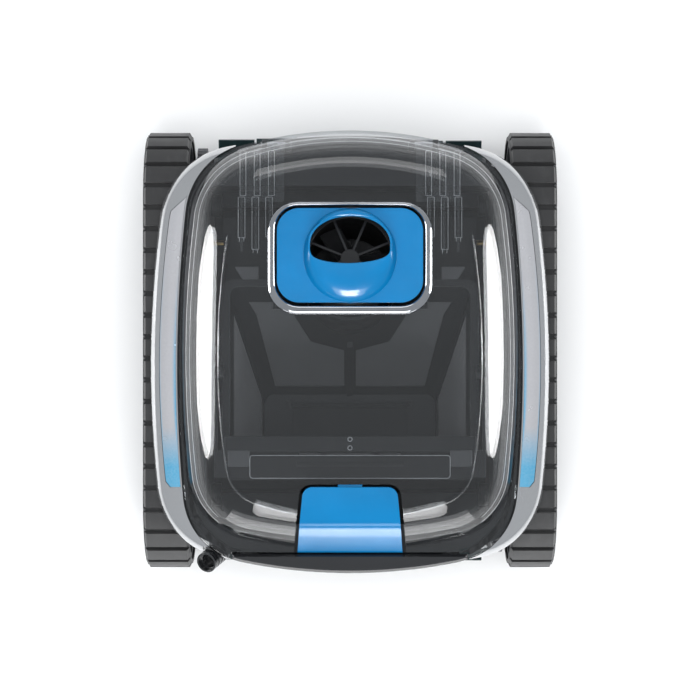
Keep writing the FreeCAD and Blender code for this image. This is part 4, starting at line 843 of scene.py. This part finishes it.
class CLEANER_OT_drive(bpy.types.Operator):
    """The belts, wheels, rollers, pinions and brushes."""

    bl_idname = "cleaner.drive"
    bl_label = "Belts, wheels and brushes"

    def execute(self, context):
        keep("belt_rubber", "left_belt", "right_belt")
        self.pegs()
        keep("brush_rubber", "front_brush_blades", "rear_brush_blades")
        keep("pinion_metal", "left_pinion", "right_pinion")
        keep("wheel_plastic", "left_rear_wheel", "right_rear_wheel", "left_front_wheel", "right_front_wheel",
             "left_roller", "right_roller", "front_brush_core", "rear_brush_core")
        return {"FINISHED"}

    def pegs(self):
        """The small peg at the outer end of each groove, all round both belts."""
        low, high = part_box("right_belt")
        tip = (high.z - low.z) / 2
        wheel = high.y - tip
        band_r = tip - GROOVE_DEPTH
        length = 4 * wheel + 2 * math.pi * band_r
        shape = bmesh.new()
        for k in range(PEGS):
            verts = bmesh.ops.create_cube(shape, size=1.0)["verts"]
            bmesh.ops.scale(shape, verts=verts, vec=PEG_SIZE)
            bmesh.ops.translate(shape, verts=verts, vec=(high.x - 0.0014, 0, band_r + 0.0007))
            y, turn = self.along((k + 0.5) * length / PEGS, wheel, band_r)
            bmesh.ops.rotate(shape, verts=verts, cent=(0, 0, 0), matrix=Matrix.Rotation(turn, 3, "X"))
            bmesh.ops.translate(shape, verts=verts, vec=(0, y, low.z + tip))
        bmesh.ops.bevel(shape, geom=shape.edges[:], offset=0.0004, segments=1, profile=0.5, affect="EDGES",
                        material=-1)
        both_sides(shape)
        new_piece(shape, "belt_pegs", NODES["right_belt"]["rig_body"], "grey_pad")

    def along(self, s, wheel, band_r):
        """Where a distance along the belt's loop lies: the Y of its centre and the turn about it."""
        half_turn = math.pi * band_r
        if s < 2 * wheel:
            return s - wheel, 0.0
        if s < 2 * wheel + half_turn:
            return wheel, -(s - 2 * wheel) / band_r
        if s < 4 * wheel + half_turn:
            return 3 * wheel + half_turn - s, math.pi
        return -wheel, math.pi - (s - 4 * wheel - half_turn) / band_r


class CLEANER_OT_fairings(bpy.types.Operator):
    """The silver side fairings with their accent strips."""

    bl_idname = "cleaner.fairings"
    bl_label = "Fairings"

    def execute(self, context):
        tone = colours()
        spared = []
        for side, way in (("left", -1), ("right", 1)):
            cutters = [
                self.strip(STRIP_GAP, -0.001),
                upright(BETWEEN_FAIRINGS, *THROUGH),
                upright(rim_outline(-SEAM, -SEAM_REAR, -SEAM), *THROUGH),
                upright(OVER_BELT, THROUGH[0], BELT_ROOM_TOP),
            ]
            if way < 0:
                cutters.append(self.socket_hole())
            shape = carved(self.shell(0.0, FAIRING_WALL), [("DIFFERENCE", cutter) for cutter in cutters])
            self.turn(largest(shape), way)
            node = side + "_fairing"
            spared.append(finish_piece(shape, node + "_shell", NODES[node]["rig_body"],
                                       "fairing_silver", (node,)))
            node = side + "_accent_strip"
            paint = strip_finish(side + "_strip", tone["accent_pearl"], tone["accent_blue"], node)
            shape = self.strip(0.0, 0.0002)
            self.turn(shape, way)
            spared.append(finish_piece(shape, side + "_strip_inlay", NODES[node]["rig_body"],
                                       paint, (node,)))
        for name in ("Left strip", "Right strip", "Low front card"):
            self.spare(bpy.data.objects[name], spared)
        return {"FINISHED"}

    def shell(self, outside, inside):
        """The body's rounded shell between two depths under its outline, down to the fairings' foot."""
        shape = bmesh.new()
        skins = []
        for depth in (outside, inside):
            reach = SHOULDER - depth
            loops = [[(x, y, FAIRING_FOOT) for x, y in body_outline(depth)]]
            for k in range(SHOULDER_STEPS + 1):
                a = math.pi / 2 * k / SHOULDER_STEPS
                level = FAIRING_TOP - SHOULDER + reach * math.sin(a)
                loops.append([(x, y, level) for x, y in body_outline(SHOULDER - reach * math.cos(a))])
            skins.append(skin_loops(shape, loops))
        outer, inner = skins
        shape.faces.new(outer[-1])
        shape.faces.new(list(reversed(inner[-1])))
        band(shape, inner[0], outer[0])
        bmesh.ops.recalc_face_normals(shape, faces=shape.faces)
        return shape

    def strip(self, grow, outside):
        """The accent strip on the right: along the lid's rim, ending in a point behind."""
        inner, outer, rear = RIM_HALF - 0.041, RIM_HALF + 0.030, 0.150
        plan = [
            (inner, -0.137 - grow), (RIM_HALF + 0.008 + grow, -0.137 - grow),
            (RIM_HALF + 0.013 + grow, -0.131 - grow), (outer, -0.120), (outer, rear - 0.032 + grow),
            (RIM_HALF + 0.0075 + grow, rear - 0.011 + grow),
            (RIM_HALF - 0.0195 + grow, rear + 0.013 + grow), (inner, rear + 0.030),
        ]
        gap = grow - 0.0028
        return carved(self.shell(outside, STRIP_DEPTH), [
            ("INTERSECT", upright(plan, 0.09, 0.2)),
            ("INTERSECT", upright(body_outline(0.011 - grow), 0.09, 0.2)),
            ("DIFFERENCE", upright(rim_outline(gap, gap - 0.0012, gap), 0.08, 0.22)),
        ])

    def socket_hole(self):
        """The round opening for the cable socket, as on the right-hand side before it is turned over."""
        lean = Vector(SOCKET_LEAN)
        shape = bmesh.new()
        made = bmesh.ops.create_cone(shape, cap_ends=True, segments=48, radius1=SOCKET_HOLE_R,
                                     radius2=SOCKET_HOLE_R, depth=SOCKET_HOLE_DEPTH)["verts"]
        turn = Vector((0, 0, 1)).rotation_difference(lean).to_matrix()
        bmesh.ops.rotate(shape, verts=made, cent=(0, 0, 0), matrix=turn)
        bmesh.ops.translate(shape, verts=made, vec=Vector(SOCKET_SEAT) - lean * 0.013)
        return shape

    def turn(self, shape, way):
        """Turns a right-hand shape into a left-hand one when way is -1."""
        if way < 0:
            bmesh.ops.scale(shape, verts=shape.verts, vec=(-1, 1, 1))
            bmesh.ops.reverse_faces(shape, faces=shape.faces)

    def spare(self, light, things):
        """Keeps a light off some pieces."""
        group = bpy.data.collections.new("Spared by " + light.name)
        for thing in things:
            group.objects.link(thing)
        light.light_linking.receiver_collection = group
        for entry in group.collection_objects:
            entry.light_linking.link_state = "EXCLUDE"


class CLEANER_OT_lid(bpy.types.Operator):
    """The clear smoked lid with its hinge arms and collar."""

    bl_idname = "cleaner.lid"
    bl_label = "Lid"

    def execute(self, context):
        self.dome()
        self.seam_line()
        smooth_copy("lid_hinge_ribs", "lid_hinge_arms", "clear_rib")
        self.rib_highlights()
        self.collar()
        return {"FINISHED"}

    def rib_highlights(self):
        """Pale bars painted as the highlights on the edges of the ribs under the dome: long frames, short
        prongs and their hooked ends.
        """
        shape = bmesh.new()
        for x in (0.0775, 0.0915, 0.1055):
            self.wire_frame(shape, x, *RIB_FRAME)
        for x, front in (*PRONGS, (0.0795, 0.1110)):
            self.wire_frame(shape, x, 0.0033, front, 0.150, PRONG_LEVEL)
        for x, front in PRONGS:
            for side in (-1, 1):
                self.bar(shape, x + side * 0.0022, 0.0003, front - 0.0035, front + 0.0010, PRONG_LEVEL)
        both_sides(shape)
        new_piece(shape, "lid_rib_edges", "lid", "highlight_and_mark_grey")

    def bar(self, shape, x, half, front, rear, height):
        """A thin bar along Y."""
        made = bmesh.ops.create_cube(shape, size=1.0)["verts"]
        bmesh.ops.scale(shape, verts=made, vec=(2 * half, rear - front, 0.0006))
        bmesh.ops.translate(shape, verts=made, vec=(x, (front + rear) / 2, height))

    def wire_frame(self, shape, x, half, front, rear, height):
        """Two thin bars and a bar across each end."""
        for side in (-1, 1):
            self.bar(shape, x + side * half, 0.00028, front, rear, height)
        for end in (front, rear):
            self.bar(shape, x, half - 0.00035, end, end + 0.0005, height)

    def dome(self):
        """The clear shell: a rim flange, a steep wall, a creased shoulder and a nearly flat crown."""
        outer = [
            self.level(0.0, 0.0, 0.0, RIM_LOW + 0.0012),
            self.level(0.0, 0.0, 0.0, FAIRING_TOP - 0.0008),
            self.level(0.0008, 0.0008, 0.0008, FAIRING_TOP),
        ]
        outer += [self.dome_level(share, 0.0) for share in SHOULDER_SHARES]
        inner = [self.dome_level(share, LID_WALL) for share in reversed(SHOULDER_SHARES)]
        inner[-1] = [(x, y, RIM_LOW) for x, y, _ in inner[-1]]
        foot = self.level(0.0012, 0.0012, 0.0012, RIM_LOW)
        shape = bmesh.new()
        top = skin_loops(shape, outer)
        under = skin_loops(shape, inner + [foot])
        shape.faces.new(top[-1])
        shape.faces.new(list(reversed(under[0])))
        band(shape, under[-1], top[0])
        notch = rounded_corners(
            [(-0.0488, -0.1314), (-0.0575, -0.2150), (-0.0600, -0.3), (0.0600, -0.3), (0.0575, -0.2150),
             (0.0488, -0.1314)],
            [0.012, 0, 0, 0, 0, 0.012])
        hole = rectangle(-0.0732, 0.0732, 0.0431, 0.1411, 0.0235)
        bar = rectangle(-0.1192, 0.1192, -0.3, -0.2023, 0.001, 1)
        return new_piece(
            shape, "lid_dome", "lid", "smoked_clear",
            [upright(plan, *THROUGH_LID) for plan in (notch, hole, bar)],
            ("lid_shell",), math.radians(20))

    def level(self, side_in, rear_in, front_in, height):
        """One ring of the shell at a height."""
        return [(p.x, p.y, height) for p in rim_outline(side_in, rear_in, front_in)]

    def dome_level(self, share, wall):
        """One ring of the dome at a share of the run from rim to shoulder."""
        side, rear, front = (share * run for run in DOME_IN)
        height = FAIRING_TOP - wall + dome_rise(share)
        return self.level(side + wall, rear + wall, DOME_FOOT_FRONT + front + wall, height)

    def seam_line(self):
        """The fine raised bead along the lid's shoulder, and two finer ones low on its wall in pale grey, as
        painted highlight lines.
        """
        notch = rectangle(-0.0520, 0.0520, -0.3, -0.1314, 0.001, 1)
        behind = rectangle(-0.3, 0.3, 0.112, 0.4, 0.001, 1)
        self.bead("lid_shoulder_bead", 1.003, 0.0008, 0.0009, "clear_rib", [notch, behind])
        notch = rectangle(-0.1300, 0.1300, -0.3, -0.1500, 0.001, 1)
        # The two wall beads are pale grey: painted highlight lines on the clear wall
        self.bead("lid_wall_bead_low", 0.215, 0.0004, 0.0004, "highlight_and_mark_grey", [notch])
        self.bead("lid_wall_bead_high", 0.315, 0.0003, 0.0003, "highlight_and_mark_grey", [notch])

    def bead(self, name, share, half, lift, finish, gaps):
        """A bead that follows the dome at a share of its run-in, left out over some plan outlines."""
        step = half / DOME_IN[0]
        rings = []
        for off, rise in ((-1.0, 0.1), (-0.55, 0.8), (0.0, 1.0), (0.55, 0.8), (1.0, 0.1)):
            rings.append([(x, y, z + rise * lift) for x, y, z in self.dome_level(share + off * step, 0.0)])
        low = [[(x, y, z - 0.0006) for x, y, z in ring] for ring in (rings[-1], rings[0])]
        shape = bmesh.new()
        made = skin_loops(shape, rings + low)
        band(shape, made[-1], made[0])
        new_piece(shape, name, "lid", finish, [upright(gap, *THROUGH_LID) for gap in gaps])

    def collar(self):
        """The polished ring round the outlet: a half-round bead, wider in front."""
        shape = bmesh.new()
        inner = rectangle(-0.0734, 0.0734, 0.0429, 0.1412, 0.0235)
        outer = rectangle(-0.0805, 0.0805, 0.0348, 0.1448, 0.029)
        loops = []
        for share, height in COLLAR_SECTION:
            loops.append([
                (*(Vector(a) * (1 - share) + Vector(b) * share), CROWN + height) for a, b in zip(inner, outer)
            ])
        rings = skin_loops(shape, loops)
        band(shape, rings[-1], rings[0])
        return new_piece(shape, "outlet_collar_ring", "lid", "dark_chrome",
                         (), ("outlet_collar",), math.radians(50))


class CLEANER_OT_top(bpy.types.Operator):
    """The outlet cowl, the latch button and the carrying handle."""

    bl_idname = "cleaner.top"
    bl_label = "Cowl, latch and handle"

    def execute(self, context):
        hood = smooth_copy("outlet_hood", "outlet_cowl", "cowl_blue")
        cap = smooth_copy("latch_cap", "latch_button", "latch_blue")
        for (name, *_), piece in zip(BLUE_CARDS, (cap, hood)):
            group = bpy.data.collections.new("Lit by " + name)
            group.objects.link(piece)
            bpy.data.objects[name].light_linking.receiver_collection = group
        smooth_copy("handle_bar", "carry_handle", "handle_black")
        return {"FINISHED"}


class CLEANER_OT_filter(bpy.types.Operator):
    """The filter basket, its mesh windows and its carrying bail."""

    bl_idname = "cleaner.filter"
    bl_label = "Filter"

    def execute(self, context):
        keep("dark_plastic", "filter_frame", "filter_handle")
        keep("mesh_fabric", "filter_mesh")
        self.tabs()
        self.grip_plate()
        self.cross_bar()
        return {"FINISHED"}

    def slab(self, name, body, slot, finish, outline, low, high, ease=0.0006, mirrored=False, crease=CREASE):
        """A plan outline pushed up, with its upper edges eased."""
        shape = upright(outline, low, high)
        edges = [e for e in shape.edges if all(abs(v.co.z - high) < 1e-7 for v in e.verts)]
        bmesh.ops.bevel(shape, geom=edges, offset=ease, segments=3, profile=0.5, affect="EDGES", material=-1)
        if mirrored:
            both_sides(shape)
        return new_piece(shape, name, body, finish, crease=crease)

    def tabs(self):
        """The finger tabs at the basket's rear corners."""
        outline = rounded_corners([(0.0905, 0.0667), (0.1045, 0.0667), (0.1150, 0.0826), (0.0905, 0.0826)],
                                  [0.001] * 4, 3)
        self.slab("filter_tabs", "filter", "dark_plastic", "grey_pad", outline, BASKET_TOP - 0.0034,
                  BASKET_TOP - 0.0006, mirrored=True)

    def grip_plate(self):
        """The folded bail's cover plate with its finger recess, a pale ring on its edge as a painted
        highlight, and two side pads.
        """
        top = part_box("filter_handle")[1].z
        outer = rectangle(-0.0985, 0.0985, -0.1262, -0.1040, 0.003)
        self.slab("bail_plate", "filter_bail", "dark_plastic", "dark_plastic", outer, top - 0.0030,
                  top - 0.0004)
        # A pale ring round the plate's top edge: a painted highlight
        edge = upright(rectangle(-0.0990, 0.0990, -0.1267, -0.1036, 0.0033), top - 0.0012, top - 0.0001)
        new_piece(edge, "bail_plate_edge", "filter_bail", "highlight_and_mark_grey",
                  [upright(rectangle(-0.0984, 0.0984, -0.1261, -0.1042, 0.0028), top - 0.01, top + 0.01)])
        pads = rectangle(0.0990, 0.1205, -0.1150, -0.0990, 0.0015)
        self.slab("bail_pads", "filter_bail", "dark_plastic", "grey_pad", pads, top - 0.0030, top - 0.0002,
                  mirrored=True)

    def cross_bar(self):
        """The paler rail behind the grip, with two small round marks."""
        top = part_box("filter_handle")[1].z
        self.slab("bail_rail", "filter_bail", "dark_plastic", "dark_plastic",
                  rectangle(-0.1240, 0.1240, -0.1000, -0.0850, 0.0015), top - 0.0035, top - 0.0008)
        rings, holes = bmesh.new(), []
        for y in RAIL_MARKS:
            self.disc(rings, y, 0.0025, 0.0006, top)
            holes.append(bmesh.new())
            self.disc(holes[-1], y, 0.0017, 0.004, top)
        new_piece(rings, "bail_rail_rings", "filter_bail", "highlight_and_mark_grey", holes)

    def disc(self, shape, y, radius, depth, top):
        """A round disc in the rail's top."""
        made = bmesh.ops.create_cone(shape, cap_ends=True, segments=24, radius1=radius, radius2=radius,
                                     depth=depth)["verts"]
        bmesh.ops.translate(shape, verts=made, vec=(0, y, top - RAIL_MARK_LEVEL))


STEPS = (
    CLEANER_OT_stage,
    CLEANER_OT_chassis,
    CLEANER_OT_drive,
    CLEANER_OT_fairings,
    CLEANER_OT_lid,
    CLEANER_OT_top,
    CLEANER_OT_filter,
)


class CLEANER_PT_sidebar(bpy.types.Panel):
    """The steps and settings, in the sidebar of the 3D view."""

    bl_idname = "CLEANER_PT_sidebar"
    bl_label = "Pool cleaner"
    bl_space_type = "VIEW_3D"
    bl_region_type = "UI"
    bl_category = "Pool cleaner"

    def draw(self, context):
        for step in STEPS:
            self.layout.operator(step.bl_idname, text=step.bl_label)
        for group, kind in (("cleaner_sizes", CleanerSizes), ("cleaner_colours", CleanerColours)):
            box = self.layout.box()
            for key in kind.__annotations__:
                box.prop(getattr(context.scene, group), key)


CLASSES = (CleanerColours, CleanerSizes, *STEPS, CLEANER_PT_sidebar)


def register():
    """Adds the classes and the scene's settings."""
    for kind in CLASSES:
        bpy.utils.register_class(kind)
    bpy.types.Scene.cleaner_colours = PointerProperty(type=CleanerColours)
    bpy.types.Scene.cleaner_sizes = PointerProperty(type=CleanerSizes)


def unregister():
    """Takes the classes and settings away again."""
    del bpy.types.Scene.cleaner_sizes
    del bpy.types.Scene.cleaner_colours
    for kind in reversed(CLASSES):
        bpy.utils.unregister_class(kind)


def main():
    register()
    for step in STEPS:
        group, call = step.bl_idname.split(".")
        getattr(getattr(bpy.ops, group), call)()


if __name__ == "__main__":
    main()
